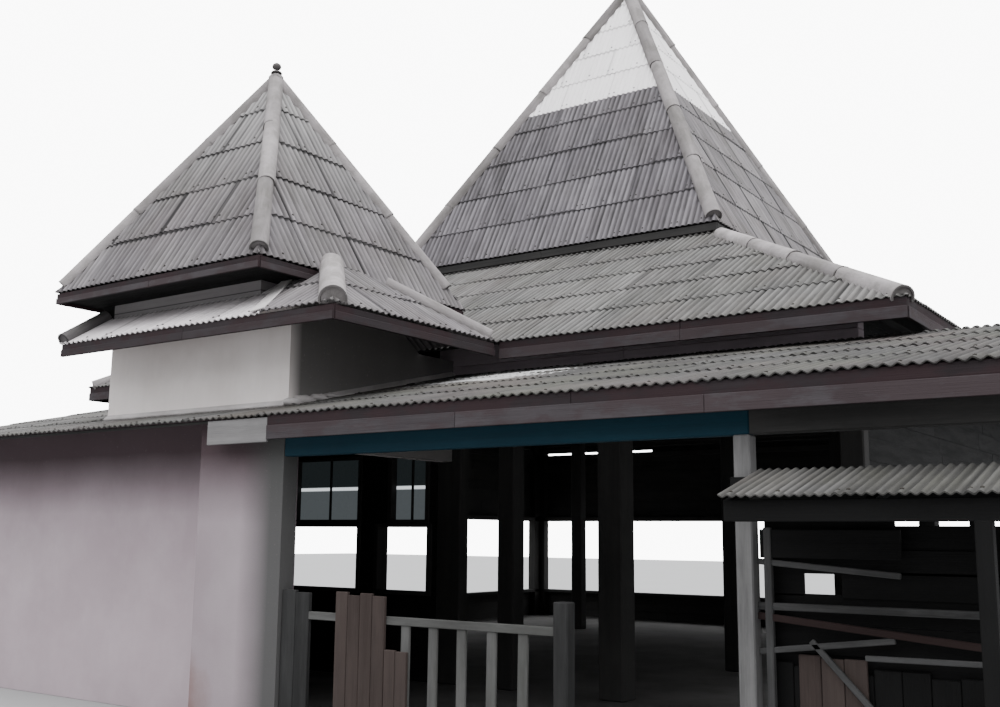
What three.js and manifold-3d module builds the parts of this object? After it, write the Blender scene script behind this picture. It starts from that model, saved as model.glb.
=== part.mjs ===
// Village hall with two steep pyramid roofs, each above a low skirt roof, and a
// lean-to verandah with a stall along the entrance side. Millimetres, +Z up.
// X runs along the entrance side, +Y away from it, the floor stands on z = 0.
import * as THREE from "three";
import { mergeVertices } from "three/addons/utils/BufferGeometryUtils.js";
import Module from "manifold-3d";

const wasm = await Module();
wasm.setup();

// Driving dimensions
const GAP = 0.3;
const SHEET = 30;
const WALL = 150;
const FASCIA = 25;
const FASCIA_SETBACK = 15;
const FLOOR_TOP = 120;

// Hall: square skirt roof under a square pyramid
const HALL = { x: -670, y: 1510, half: 5170, eaveZ: 3455, slope: 0.565, fasciaBottom: 3275 };
const HALL_WALL_INSET = 560;
const SPIRE = { half: 2395, eaveZ: 5160, apexZ: 9705, fasciaBottom: 5048 };
const RING_INSET = 150;
const RING_BOTTOM = 4950;
const SPIRE_COLUMNS = { x: 2170, front: -170, back: 3620, width: 180 };

// Tower at the entrance side: walls, raised drum, skirt roof and its own pyramid
const TOWER = { left: -2860, right: -310, front: -5450, drumRight: -720, drumZ: 3700 };
const TOWER_SKIRT = {
  left: -3040,
  right: 650,
  front: -5930,
  eaveZ: 3455,
  slope: 0.66,
  fasciaBottom: 3300,
};
const TOWER_SPIRE = { x: -1710, y: -4460, half: 1470, eaveZ: 3970, apexZ: 6430, fasciaBottom: 3845 };
const APRON_DROP = 20;
const APRON_EDGE = { footX: -205, topX: -660, topY: -5010 };

// Verandah: lean-to roof, beam, posts, pier and balustrade
const LEAN = { left: HALL.x - HALL.half, right: 5840, front: -6215, eaveZ: 2533, slope: 0.232, fasciaBottom: 2330 };
const BEAM = { front: -6050, back: -5950, bottom: 2204, left: 290, right: 5700 };
const MAIN_POST = { x: 4120, width: 105 };
const CORNER_POST = { x: 5630, width: 105 };
const PIER = { left: -700, right: 290, depth: 150 };
const PALE_BOARD = { left: -460, right: 240, drop: 20 };
const VERANDAH_FLOOR = { right: 5740, front: -6150 };
const ROOM_LEFT = HALL.x - HALL.half + HALL_WALL_INSET;

// Stall under its own small roof in the right bay
const STALL = { left: 4240, right: 5840, front: -6673, back: -6053, eaveZ: 1825, slope: 0.29 };

// Shape helpers
const solidOf = (geometry) => {
  const bare = geometry.index ? geometry.toNonIndexed() : geometry.clone();
  bare.deleteAttribute("normal");
  bare.deleteAttribute("uv");
  const merged = mergeVertices(bare, 1e-3);
  return new wasm.Manifold(
    new wasm.Mesh({
      numProp: 3,
      vertProperties: new Float32Array(merged.attributes.position.array),
      triVerts: new Uint32Array(merged.index.array),
    })
  );
};

const box = (x0, x1, y0, y1, z0, z1) => {
  const geometry = new THREE.BoxGeometry(2, 2, 2);
  const corners = geometry.attributes.position;
  for (let i = 0; i < corners.count; i += 1) {
    corners.setXYZ(
      i,
      corners.getX(i) < 0 ? x0 : x1,
      corners.getY(i) < 0 ? y0 : y1,
      corners.getZ(i) < 0 ? z0 : z1
    );
  }
  return solidOf(geometry);
};

const onFloor = ({ left, right, front, back, top }, bottom = FLOOR_TOP) =>
  box(left, right, front, back, bottom, top);

const outline = (points) => new THREE.Shape(points.map(([x, y]) => new THREE.Vector2(x, y)));

const prism = (points, z0, z1) => {
  const geometry = new THREE.ExtrudeGeometry(outline(points), { depth: z1 - z0, bevelEnabled: false });
  geometry.translate(0, 0, z0);
  return solidOf(geometry);
};

// A section drawn as (inward distance, height) and run along an eave
const RUN_DIRECTIONS = {
  front: [new THREE.Vector3(0, 1, 0), new THREE.Vector3(1, 0, 0)],
  right: [new THREE.Vector3(-1, 0, 0), new THREE.Vector3(0, 1, 0)],
  back: [new THREE.Vector3(0, -1, 0), new THREE.Vector3(-1, 0, 0)],
  left: [new THREE.Vector3(1, 0, 0), new THREE.Vector3(0, -1, 0)],
};

const sectionRun = (side, section, eaveAt, from, to) => {
  const [inward, along] = RUN_DIRECTIONS[side];
  const up = new THREE.Vector3(0, 0, 1);
  const length = Math.abs(to - from);
  const geometry = new THREE.ExtrudeGeometry(outline(section), { depth: length, bevelEnabled: false });
  const sign = along.x + along.y;
  const start = sign > 0 ? Math.min(from, to) : Math.max(from, to);
  const origin =
    Math.abs(along.x) > 0 ? new THREE.Vector3(start, eaveAt, 0) : new THREE.Vector3(eaveAt, start, 0);
  const place = new THREE.Matrix4().makeBasis(inward, up, along).setPosition(origin);
  geometry.applyMatrix4(place);
  return solidOf(geometry);
};

const upright = (slope, thickness = SHEET) => thickness * Math.hypot(1, slope);

// Sloping slab with its top surface starting at eaveZ, cut to a plan outline
const roofSlab = (side, eaveAt, from, to, eaveZ, slope, run, plan) => {
  const deep = upright(slope);
  const section = [
    [0, eaveZ - deep],
    [run, eaveZ + slope * run - deep],
    [run, eaveZ + slope * run],
    [0, eaveZ],
  ];
  const slab = sectionRun(side, section, eaveAt, from, to);
  return plan ? slab.intersect(prism(plan, 0, 12000)) : slab;
};

// Solid square pyramid whose sides follow a roof surface, lifted by a clearance
const pyramidVolume = (x, y, half, eaveZ, slope, lift = 0, extra = 0) => {
  const wide = half + extra;
  const height = wide * slope;
  const geometry = new THREE.ConeGeometry(wide * Math.SQRT2, height, 4, 1);
  geometry.rotateY(Math.PI / 4);
  geometry.rotateX(Math.PI / 2);
  geometry.translate(x, y, eaveZ - extra * slope + height / 2 + lift);
  return solidOf(geometry);
};

const squareRing = (x, y, outer, inner, z0, z1) =>
  box(x - outer, x + outer, y - outer, y + outer, z0, z1).subtract(
    box(x - inner, x + inner, y - inner, y + inner, z0 - 10, z1 + 10)
  );

// Round bar of a given radius from one point to another
const bar = (from, to, radius, sides = 10) => {
  const a = new THREE.Vector3(...from);
  const b = new THREE.Vector3(...to);
  const length = a.distanceTo(b);
  const geometry = new THREE.CylinderGeometry(radius, radius, length, sides, 1);
  const turn = new THREE.Quaternion().setFromUnitVectors(
    new THREE.Vector3(0, 1, 0),
    b.clone().sub(a).normalize()
  );
  geometry.applyQuaternion(turn);
  geometry.translate((a.x + b.x) / 2, (a.y + b.y) / 2, (a.z + b.z) / 2);
  return solidOf(geometry);
};

// Colours of the finishes
const FINISH = {
  slate: { color: 0x7d7a7c, roughness: 0.95 },
  pale: { color: 0xc9c6c2, roughness: 0.9 },
  cap: { color: 0x8d8682, roughness: 0.95 },
  fascia: { color: 0x6d5f60, roughness: 0.85 },
  cream: { color: 0xa9a39c, roughness: 0.9 },
  pink: { color: 0xc3b1b5, roughness: 0.9 },
  dark: { color: 0x2c2a30, roughness: 0.85 },
  blue: { color: 0x123b4c, roughness: 0.7 },
  greyWood: { color: 0x9b989a, roughness: 0.85 },
  brownBoard: { color: 0x8a6f68, roughness: 0.85 },
  concrete: { color: 0x8f8c88, roughness: 0.95 },
  glass: { color: 0x8fa3a8, roughness: 0.1 },
};

const house = new THREE.Group();

const add = (name, solid, finish) => {
  const { vertProperties, triVerts } = solid.simplify(0.02).getMesh();
  const geometry = new THREE.BufferGeometry();
  geometry.setAttribute("position", new THREE.BufferAttribute(new Float32Array(vertProperties), 3));
  geometry.setIndex(new THREE.BufferAttribute(new Uint32Array(triVerts), 1));
  geometry.computeVertexNormals();
  const material = new THREE.MeshStandardMaterial({ ...FINISH[finish], metalness: 0 });
  const mesh = new THREE.Mesh(geometry, material);
  mesh.name = name;
  house.add(mesh);
};

// Four slopes of a square roof that meet at the hips: trapezoids, or triangles up to an apex
const squareRoof = (names, { x, y, half, eaveZ }, slope, run) => {
  const sides = ["front", "right", "back", "left"];
  const rest = half - run;
  sides.forEach((side, index) => {
    const turn = (px, py) => {
      const angle = (index * Math.PI) / 2;
      const c = Math.round(Math.cos(angle));
      const s = Math.round(Math.sin(angle));
      return [x + c * px - s * py, y + s * px + c * py];
    };
    const eave = [turn(-half + GAP, -half), turn(half - GAP, -half)];
    const upper = rest > GAP ? [turn(rest - GAP, -rest), turn(GAP - rest, -rest)] : [turn(0, -GAP)];
    const eaveAt = { front: y - half, right: x + half, back: y + half, left: x - half }[side];
    const middle = side === "front" || side === "back" ? x : y;
    const plan = [...eave, ...upper];
    add(names[index], roofSlab(side, eaveAt, middle - half, middle + half, eaveZ, slope, run, plan), "slate");
  });
};

// Floors
const hallFront = HALL.y - HALL.half + HALL_WALL_INSET;
const hallBack = HALL.y + HALL.half - HALL_WALL_INSET;
const hallLeft = HALL.x - HALL.half + HALL_WALL_INSET;
const hallRight = HALL.x + HALL.half - HALL_WALL_INSET;
add("hall_floor", box(hallLeft, hallRight, hallFront, hallBack, 0, FLOOR_TOP), "concrete");
const roomFront = TOWER.front + WALL;
const verandahFloor = [
  [PIER.left, VERANDAH_FLOOR.front],
  [VERANDAH_FLOOR.right, VERANDAH_FLOOR.front],
  [VERANDAH_FLOOR.right, hallFront],
  [ROOM_LEFT + WALL, hallFront],
  [ROOM_LEFT + WALL, roomFront],
  [PIER.left, roomFront],
];
add("verandah_floor", prism(verandahFloor, 0, FLOOR_TOP), "concrete");

// Hall roof
const spireSlope = (SPIRE.apexZ - SPIRE.eaveZ) / SPIRE.half;
const hallSurface = (inset) => HALL.eaveZ + HALL.slope * inset;
const ringOuter = SPIRE.half - RING_INSET;
const skirtRun = HALL.half - ringOuter - GAP;
const towerSlope = (TOWER_SPIRE.apexZ - TOWER_SPIRE.eaveZ) / TOWER_SPIRE.half;
const skirtReach = TOWER_SKIRT.right - TOWER_SPIRE.x - TOWER_SPIRE.half;
const hipRun =
  (towerSlope * skirtReach + TOWER_SKIRT.eaveZ - TOWER_SPIRE.eaveZ) / (towerSlope - TOWER_SKIRT.slope);
const hipTop = [TOWER_SKIRT.right - hipRun, TOWER_SKIRT.front + hipRun];
const skirtEaveY = HALL.y - HALL.half;
const backHipY = skirtEaveY - hipRun;
squareRoof(
  ["hall_skirt_front", "hall_skirt_right", "hall_skirt_back", "hall_skirt_left"],
  HALL,
  HALL.slope,
  skirtRun
);
squareRoof(
  ["spire_front", "spire_right", "spire_back", "spire_left"],
  { x: HALL.x, y: HALL.y, half: SPIRE.half, eaveZ: SPIRE.eaveZ },
  spireSlope,
  SPIRE.half
);

// Timber ring that carries the pyramid, with its four columns
const ringTop = SPIRE.eaveZ + spireSlope * RING_INSET - upright(spireSlope) - GAP;
let spireFrame = squareRing(HALL.x, HALL.y, ringOuter, ringOuter - WALL, RING_BOTTOM, ringTop);
const columnHalf = SPIRE_COLUMNS.width / 2;
for (const cx of [HALL.x - SPIRE_COLUMNS.x, HALL.x + SPIRE_COLUMNS.x]) {
  for (const cy of [SPIRE_COLUMNS.front, SPIRE_COLUMNS.back]) {
    spireFrame = spireFrame.add(
      box(cx - columnHalf, cx + columnHalf, cy - columnHalf, cy + columnHalf, FLOOR_TOP, RING_BOTTOM + 20)
    );
  }
}
add("spire_frame", spireFrame, "dark");
const fasciaTop = (eaveZ, slope) => eaveZ + slope * FASCIA_SETBACK - upright(slope) - GAP;
add(
  "spire_fascia",
  squareRing(
    HALL.x,
    HALL.y,
    SPIRE.half - FASCIA_SETBACK,
    SPIRE.half - FASCIA_SETBACK - FASCIA,
    SPIRE.fasciaBottom,
    fasciaTop(SPIRE.eaveZ, spireSlope)
  ),
  "dark"
);

// Ridge caps: half-round bars over the hips, each starting a little way up from the corner
const CAP_START = 45;
const hipCap = (corner, top, radius, volume) => {
  const from = new THREE.Vector3(...corner);
  const to = new THREE.Vector3(...top);
  const share = (CAP_START * Math.SQRT2) / Math.hypot(to.x - from.x, to.y - from.y);
  return bar(from.lerp(to, share).toArray(), top, radius).subtract(volume);
};
// The four caps of a pyramid join at its apex in a flat top, the seat of the finial
const SEAT = 28;
const fourCaps = (x, y, half, eaveZ, apexZ, radius, volume) => {
  const past = 1.04;
  const bars = [[-1, -1], [1, -1], [1, 1], [-1, 1]].map(([sx, sy]) => {
    const top = [x + sx * half * (1 - past), y + sy * half * (1 - past), eaveZ + (apexZ - eaveZ) * past];
    return hipCap([x + sx * half, y + sy * half, eaveZ], top, radius, volume);
  });
  const reach = half + 500;
  return wasm.Manifold.union(bars).intersect(
    box(x - reach, x + reach, y - reach, y + reach, eaveZ - 200, apexZ + SEAT)
  );
};
const spireCaps = fourCaps(
  HALL.x,
  HALL.y,
  SPIRE.half,
  SPIRE.eaveZ,
  SPIRE.apexZ,
  100,
  pyramidVolume(HALL.x, HALL.y, SPIRE.half, SPIRE.eaveZ, spireSlope, 2 * GAP, 300)
);
add("spire_hip_caps", spireCaps, "cap");
const topOf = (solid) => solid.boundingBox().max[2] + GAP;
const finial = (x, y, baseZ) => {
  const profile = [
    [0, 0],
    [62, 0],
    [52, 14],
    [20, 26],
    [18, 38],
    [42, 52],
    [50, 74],
    [42, 98],
    [18, 114],
    [0, 120],
  ];
  const geometry = new THREE.LatheGeometry(profile.map(([r, h]) => new THREE.Vector2(r, h)), 16);
  geometry.rotateX(Math.PI / 2);
  geometry.translate(x, y, baseZ);
  return solidOf(geometry);
};

const skirtVolume = pyramidVolume(HALL.x, HALL.y, HALL.half, HALL.eaveZ, HALL.slope, 2 * GAP, 300);
for (const [name, sx, sy] of [
  ["hall_skirt_cap_front_left", -1, -1],
  ["hall_skirt_cap_front_right", 1, -1],
  ["hall_skirt_cap_back_right", 1, 1],
  ["hall_skirt_cap_back_left", -1, 1],
]) {
  const capRun = HALL.half - SPIRE.half - 60;
  const corner = [HALL.x + sx * HALL.half, HALL.y + sy * HALL.half, HALL.eaveZ];
  const top = [corner[0] - sx * capRun, corner[1] - sy * capRun, hallSurface(capRun)];
  add(name, hipCap(corner, top, 95, skirtVolume), "cap");
}

// Hall fascia: round three sides and the two stretches beside the tower
const hallFascia = () => {
  const outer = HALL.half - FASCIA_SETBACK;
  const top = fasciaTop(HALL.eaveZ, HALL.slope);
  const ring = squareRing(HALL.x, HALL.y, outer, outer - FASCIA, HALL.fasciaBottom, top);
  const front = HALL.y - HALL.half;
  return ring.subtract(
    box(TOWER.left - GAP, TOWER_SKIRT.right + 5, front - 100, front + 100, 3000, 3600)
  );
};
add("hall_fascia", hallFascia(), "fascia");

// Hall walls: low wall, wide openings between posts, a board band and a vent under the eave
const wallTop = hallSurface(HALL_WALL_INSET) - upright(HALL.slope) - GAP;
const OPENING = { sill: 600, head: 1880, ventSill: 3140, ventHead: 3560 };
const BACK_BAYS = [[-5030, -3590], [-3410, -1290], [-1110, 1010], [1190, 3310]];
const SIDE_BAYS = [[-2800, -990], [-810, 1110], [1290, 3210], [3390, 5800]];
const openWall = (alongX, from, to, at, bays) => {
  const place = (a0, a1, z0, z1, over) =>
    alongX
      ? box(a0, a1, at - over, at + WALL + over, z0, z1)
      : box(at - over, at + WALL + over, a0, a1, z0, z1);
  let wall = place(from, to, FLOOR_TOP, wallTop, 0);
  for (const [a0, a1] of bays) {
    wall = wall.subtract(place(a0, a1, OPENING.sill, OPENING.head, 50));
    wall = wall.subtract(place(a0, a1, OPENING.ventSill, OPENING.ventHead, 50));
  }
  return wall;
};
const sideWall = (at) => openWall(false, hallFront + WALL, hallBack - WALL, at, SIDE_BAYS);
add("hall_back_wall", openWall(true, hallLeft, hallRight, hallBack - WALL, BACK_BAYS), "dark");
add("hall_left_wall", sideWall(hallLeft), "dark");
add("hall_right_wall", sideWall(hallRight - WALL), "dark");

// Front wall behind the tower, with two windows and their upper lights
const WINDOWS = [
  { name: "left", x0: -2720, x1: -1590, paneX0: -2560, paneX1: -1590 },
  { name: "right", x0: -1305, x1: -600, paneX0: -1125, paneX1: -640 },
];
const WINDOW_SILL = 1006;
const WINDOW_HEAD = 1692;
const PANE_SILL = 1748;
const PANE_HEAD = 2428;
const REAR_COLUMN = { left: -500, right: -198 };
const frontWall = (x0, x1, z0, z1) => box(x0, x1, hallFront, hallFront + WALL, z0, z1);
let windowWall = frontWall(hallLeft, REAR_COLUMN.left, FLOOR_TOP, wallTop);
for (const { name, x0, x1, paneX0, paneX1 } of WINDOWS) {
  windowWall = windowWall.subtract(
    box(x0, x1, hallFront - 50, hallFront + WALL + 50, WINDOW_SILL, WINDOW_HEAD)
  );
  windowWall = windowWall.subtract(
    box(paneX0, paneX1, hallFront - 50, hallFront + WALL + 50, PANE_SILL, PANE_HEAD)
  );
  const middle = hallFront + WALL / 2;
  add(`upper_light_${name}`, box(paneX0, paneX1, middle - 4, middle + 4, PANE_SILL, PANE_HEAD), "glass");
}
add("window_wall", windowWall, "dark");

// Header, columns and side posts along the open front of the hall
const HEADER_BOTTOM = 2950;
const leanSurface = (y) => LEAN.eaveZ + LEAN.slope * (y - LEAN.front);
const leanUnderside = (y) => leanSurface(y) - upright(LEAN.slope);
const SIDE_POST = { left: 5640, right: VERANDAH_FLOOR.right, depth: 100 };
const SIDE_BEAM = { left: 3700, height: 200 };
const FRONT_COLUMNS = [
  { x: 371, width: 195, depth: 195 },
  { x: 1548, width: 255, depth: 255 },
  { x: 3840, width: 200, depth: WALL },
];
const frontFrame = () => {
  let frame = frontWall(REAR_COLUMN.left, hallRight, HEADER_BOTTOM, wallTop);
  frame = frame.add(frontWall(REAR_COLUMN.left, REAR_COLUMN.right, FLOOR_TOP, HEADER_BOTTOM + 20));
  for (const { x, width, depth } of FRONT_COLUMNS) {
    frame = frame.add(
      box(x - width / 2, x + width / 2, hallFront, hallFront + depth, FLOOR_TOP, HEADER_BOTTOM + 20)
    );
  }
  const sideY = hallFront - SIDE_POST.depth;
  const sideTop = leanUnderside(sideY) - GAP;
  const sideBottom = sideTop - SIDE_BEAM.height;
  frame = frame.add(box(SIDE_BEAM.left, SIDE_POST.right, sideY, hallFront, sideBottom, sideTop));
  frame = frame.add(box(SIDE_BEAM.left, hallRight, hallFront - 20, hallFront + 20, sideBottom, sideTop - 20));
  frame = frame.add(box(SIDE_POST.left, SIDE_POST.right, sideY, hallFront, FLOOR_TOP, sideTop));
  return frame;
};
add("hall_front_frame", frontFrame(), "dark");

// Tower walls
const wallSplit = Math.floor(leanUnderside(TOWER.front) / 10) * 10;
add(
  "lower_front_wall",
  box(ROOM_LEFT, TOWER.right, TOWER.front, roomFront, FLOOR_TOP, wallSplit).add(
    box(ROOM_LEFT, PIER.left, TOWER.front, roomFront, 0, FLOOR_TOP + 20)
  ),
  "pink"
);
const roomEndWall = () => {
  const section = [
    [roomFront - LEAN.front, 0],
    [hallFront - LEAN.front, 0],
    [hallFront - LEAN.front, leanUnderside(hallFront) - GAP],
    [roomFront - LEAN.front, leanUnderside(roomFront) - GAP],
  ];
  return sectionRun("front", section, LEAN.front, ROOM_LEFT, ROOM_LEFT + WALL);
};
add("room_end_wall", roomEndWall(), "pink");
const SIDE_WALL_BOTTOM = 2350;
const UNDER_EAVE = 3415;
const skirtSurface = (inset) => TOWER_SKIRT.eaveZ + TOWER_SKIRT.slope * inset;
const skirtUnderside = (inset) => skirtSurface(inset) - upright(TOWER_SKIRT.slope) - GAP;
const spireInset = TOWER_SPIRE.x + TOWER_SPIRE.half - TOWER.right;
const besideSpire = TOWER_SPIRE.eaveZ + towerSlope * spireInset - upright(towerSlope) - GAP;
const upperWalls = () => {
  const front = TOWER.front - TOWER_SKIRT.front;
  const inner = front + WALL;
  const back = skirtEaveY - 10 - TOWER_SKIRT.front;
  const under = (inset) => skirtUnderside(inset) - APRON_DROP;
  const levelFrom = (besideSpire - under(0)) / TOWER_SKIRT.slope;
  const levelTo = back + 10 - levelFrom;
  const profile = [
    [front, wallSplit],
    [inner, wallSplit],
    [inner, SIDE_WALL_BOTTOM],
    [back, SIDE_WALL_BOTTOM],
    [back, under(10)],
    [levelTo, besideSpire],
    [levelFrom, besideSpire],
    [inner, under(inner)],
    [front, under(front)],
  ];
  const leftWall = (y1, z0, z1) => box(TOWER.left, TOWER.left + WALL, TOWER.front, y1, z0, z1);
  const rightLow = TOWER.right - WALL;
  return box(TOWER.left, TOWER.right, TOWER.front, TOWER.front + WALL, wallSplit, TOWER.drumZ)
    .add(leftWall(skirtEaveY - 10, wallSplit, TOWER.drumZ))
    .add(leftWall(hallFront - 1, wallSplit, UNDER_EAVE))
    .add(sectionRun("front", profile, TOWER_SKIRT.front, rightLow, TOWER.right))
    .add(box(rightLow, TOWER.right, skirtEaveY - 20, hallFront - 1, SIDE_WALL_BOTTOM, UNDER_EAVE - 12));
};
add("tower_upper_walls", upperWalls(), "cream");

// Drum between the skirt roof and the tower's pyramid
const towerSpireVolume = (lift, extra) => {
  const { x, y, half, eaveZ } = TOWER_SPIRE;
  return pyramidVolume(x, y, half, eaveZ, towerSlope, lift, extra);
};
const DRUM_BACK = -3470;
const DRUM_FOOT = 3430;
const ABOVE_DRUM = 5200;
const CUT_FROM = 3000;
const CUT_TO = 7000;
const hallFrontPlane = sectionRun(
  "front",
  [[-500, 1000], [3000, 1000], [3000, hallSurface(3000) + 2 * GAP], [-500, hallSurface(-500) + 2 * GAP]],
  skirtEaveY,
  -3000,
  3000
);
const drum = () => {
  const { left, drumRight, front, drumZ } = TOWER;
  return box(left, drumRight, front, DRUM_BACK, DRUM_FOOT, ABOVE_DRUM)
    .subtract(box(left + WALL, drumRight - WALL, front + WALL, DRUM_BACK - WALL, CUT_FROM, CUT_TO))
    .subtract(box(left - 9, drumRight + 9, front - 9, front + WALL, CUT_FROM, drumZ))
    .subtract(box(left - 9, left + WALL, front, skirtEaveY - 10 + GAP, CUT_FROM, drumZ))
    .subtract(hallFrontPlane)
    .intersect(towerSpireVolume(-upright(towerSlope) - GAP, 400));
};
add("tower_drum", drum(), "dark");
squareRoof(
  ["tower_spire_front", "tower_spire_right", "tower_spire_back", "tower_spire_left"],
  TOWER_SPIRE,
  towerSlope,
  TOWER_SPIRE.half
);
add(
  "tower_spire_fascia",
  squareRing(
    TOWER_SPIRE.x,
    TOWER_SPIRE.y,
    TOWER_SPIRE.half - FASCIA_SETBACK,
    TOWER_SPIRE.half - FASCIA_SETBACK - FASCIA,
    TOWER_SPIRE.fasciaBottom,
    fasciaTop(TOWER_SPIRE.eaveZ, towerSlope)
  ),
  "fascia"
);

// Tower skirt: hipped slopes in front, on the right and at the back, and a flat apron in front
const spireClear = towerSpireVolume(2 * GAP, 100);
const spireReach = TOWER_SPIRE.half + GAP;
const spireShell = towerSpireVolume(2 * GAP, 60)
  .subtract(towerSpireVolume(-upright(towerSlope) - 2 * GAP, 400))
  .intersect(
    box(
      TOWER_SPIRE.x - spireReach,
      TOWER_SPIRE.x + spireReach,
      TOWER_SPIRE.y - spireReach,
      TOWER_SPIRE.y + spireReach,
      CUT_FROM,
      CUT_TO
    )
  );
const edgeOuter = TOWER_SPIRE.half - FASCIA_SETBACK + GAP;
const spireEdge = squareRing(
  TOWER_SPIRE.x,
  TOWER_SPIRE.y,
  edgeOuter,
  edgeOuter - FASCIA - 2 * GAP,
  TOWER_SPIRE.fasciaBottom - GAP,
  TOWER_SPIRE.eaveZ
);
add(
  "tower_skirt_right",
  roofSlab(
    "right",
    TOWER_SKIRT.right,
    TOWER_SKIRT.front,
    skirtEaveY,
    TOWER_SKIRT.eaveZ,
    TOWER_SKIRT.slope,
    hipRun + 200,
    [
      [TOWER_SKIRT.right, TOWER_SKIRT.front + 2 * GAP],
      [TOWER_SKIRT.right, skirtEaveY - 2 * GAP],
      [hipTop[0], backHipY - 2 * GAP],
      [hipTop[0], hipTop[1] + 2 * GAP],
    ]
  ).subtract(spireClear),
  "slate"
);
add(
  "tower_skirt_back",
  roofSlab(
    "back",
    skirtEaveY - GAP,
    TOWER.drumRight,
    TOWER_SKIRT.right,
    TOWER_SKIRT.eaveZ,
    TOWER_SKIRT.slope,
    hipRun + 200,
    [
      [TOWER.drumRight + GAP, skirtEaveY - GAP],
      [TOWER_SKIRT.right - GAP, skirtEaveY - GAP],
      [hipTop[0] - GAP, backHipY],
      [TOWER.drumRight + GAP, backHipY],
    ]
  )
    .subtract(spireShell)
    .subtract(spireEdge),
  "slate"
);
add(
  "tower_skirt_front",
  roofSlab(
    "front",
    TOWER_SKIRT.front,
    TOWER_SKIRT.left,
    TOWER_SKIRT.right,
    TOWER_SKIRT.eaveZ,
    TOWER_SKIRT.slope,
    hipRun + 200,
    [
      [APRON_EDGE.footX, TOWER_SKIRT.front],
      [TOWER_SKIRT.right - GAP, TOWER_SKIRT.front],
      [hipTop[0] - GAP, hipTop[1]],
      [TOWER.drumRight + GAP, hipTop[1]],
      [TOWER.drumRight + GAP, APRON_EDGE.topY + GAP],
      [APRON_EDGE.topX, APRON_EDGE.topY + GAP],
    ]
  )
    .subtract(spireShell)
    .subtract(spireEdge),
  "slate"
);
add(
  "tower_apron",
  roofSlab(
    "front",
    TOWER_SKIRT.front,
    TOWER_SKIRT.left,
    TOWER_SKIRT.right,
    TOWER_SKIRT.eaveZ - APRON_DROP,
    TOWER_SKIRT.slope,
    1200,
    [
      [TOWER_SKIRT.left, TOWER_SKIRT.front],
      [APRON_EDGE.footX - GAP, TOWER_SKIRT.front],
      [APRON_EDGE.topX - GAP, APRON_EDGE.topY],
      [TOWER.drumRight + GAP, APRON_EDGE.topY],
      [TOWER.drumRight + GAP, TOWER.front - GAP],
      [TOWER_SKIRT.left, TOWER.front - GAP],
    ]
  ),
  "pale"
);
const SKIRT_MIDDLE = 3000;
const towerSkirtVolume = (y) =>
  pyramidVolume(
    TOWER_SKIRT.right - SKIRT_MIDDLE,
    y,
    SKIRT_MIDDLE,
    TOWER_SKIRT.eaveZ,
    TOWER_SKIRT.slope,
    2 * GAP,
    300
  );
const capTopInset = hipRun - 20;
add(
  "tower_hip_cap",
  hipCap(
    [TOWER_SKIRT.right, TOWER_SKIRT.front, TOWER_SKIRT.eaveZ],
    [TOWER_SKIRT.right - capTopInset, TOWER_SKIRT.front + capTopInset, skirtSurface(capTopInset)],
    120,
    towerSkirtVolume(TOWER_SKIRT.front + SKIRT_MIDDLE)
  ).subtract(spireClear),
  "cap"
);
const backCapInset = 0.84 * hipRun;
add(
  "tower_back_hip_cap",
  hipCap(
    [TOWER_SKIRT.right, skirtEaveY, TOWER_SKIRT.eaveZ],
    [TOWER_SKIRT.right - backCapInset, skirtEaveY - backCapInset, skirtSurface(backCapInset)],
    80,
    towerSkirtVolume(skirtEaveY - SKIRT_MIDDLE)
  )
    .subtract(hallFrontPlane)
    .subtract(spireClear),
  "cap"
);
const rightPlane = sectionRun(
  "right",
  [[-500, 1000], [3000, 1000], [3000, skirtSurface(3000) + 2 * GAP], [-500, skirtSurface(-500) + 2 * GAP]],
  TOWER_SKIRT.right,
  TOWER_SKIRT.front + 900,
  skirtEaveY - 900
);
const apronPlane = (inset) => skirtSurface(inset) - APRON_DROP + GAP;
add(
  "tower_verge_cap",
  bar(
    [TOWER_SKIRT.left + 70, TOWER_SKIRT.front, TOWER_SKIRT.eaveZ + 10],
    [TOWER_SKIRT.left + 70, TOWER.front - 5, skirtSurface(TOWER.front - TOWER_SKIRT.front) + 10],
    80
  ).subtract(
    sectionRun(
      "front",
      [[-300, 1000], [2000, 1000], [2000, apronPlane(2000)], [-300, apronPlane(-300)]],
      TOWER_SKIRT.front,
      TOWER_SKIRT.left - 200,
      TOWER_SKIRT.left + 400
    )
  ),
  "cap"
);
const towerCaps = fourCaps(
  TOWER_SPIRE.x,
  TOWER_SPIRE.y,
  TOWER_SPIRE.half,
  TOWER_SPIRE.eaveZ,
  TOWER_SPIRE.apexZ,
  84,
  towerSpireVolume(2 * GAP, 300)
).subtract(rightPlane);
add("tower_spire_caps", towerCaps, "cap");
const towerFascia = () => {
  const front = TOWER_SKIRT.front + FASCIA_SETBACK;
  const right = TOWER_SKIRT.right - FASCIA_SETBACK;
  const top = fasciaTop(TOWER_SKIRT.eaveZ - APRON_DROP, TOWER_SKIRT.slope);
  return box(TOWER_SKIRT.left + 20, right, front, front + FASCIA, TOWER_SKIRT.fasciaBottom, top).add(
    box(right - FASCIA, right, front, skirtEaveY - 5, TOWER_SKIRT.fasciaBottom, top)
  );
};
add("tower_fascia", towerFascia(), "fascia");

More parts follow.
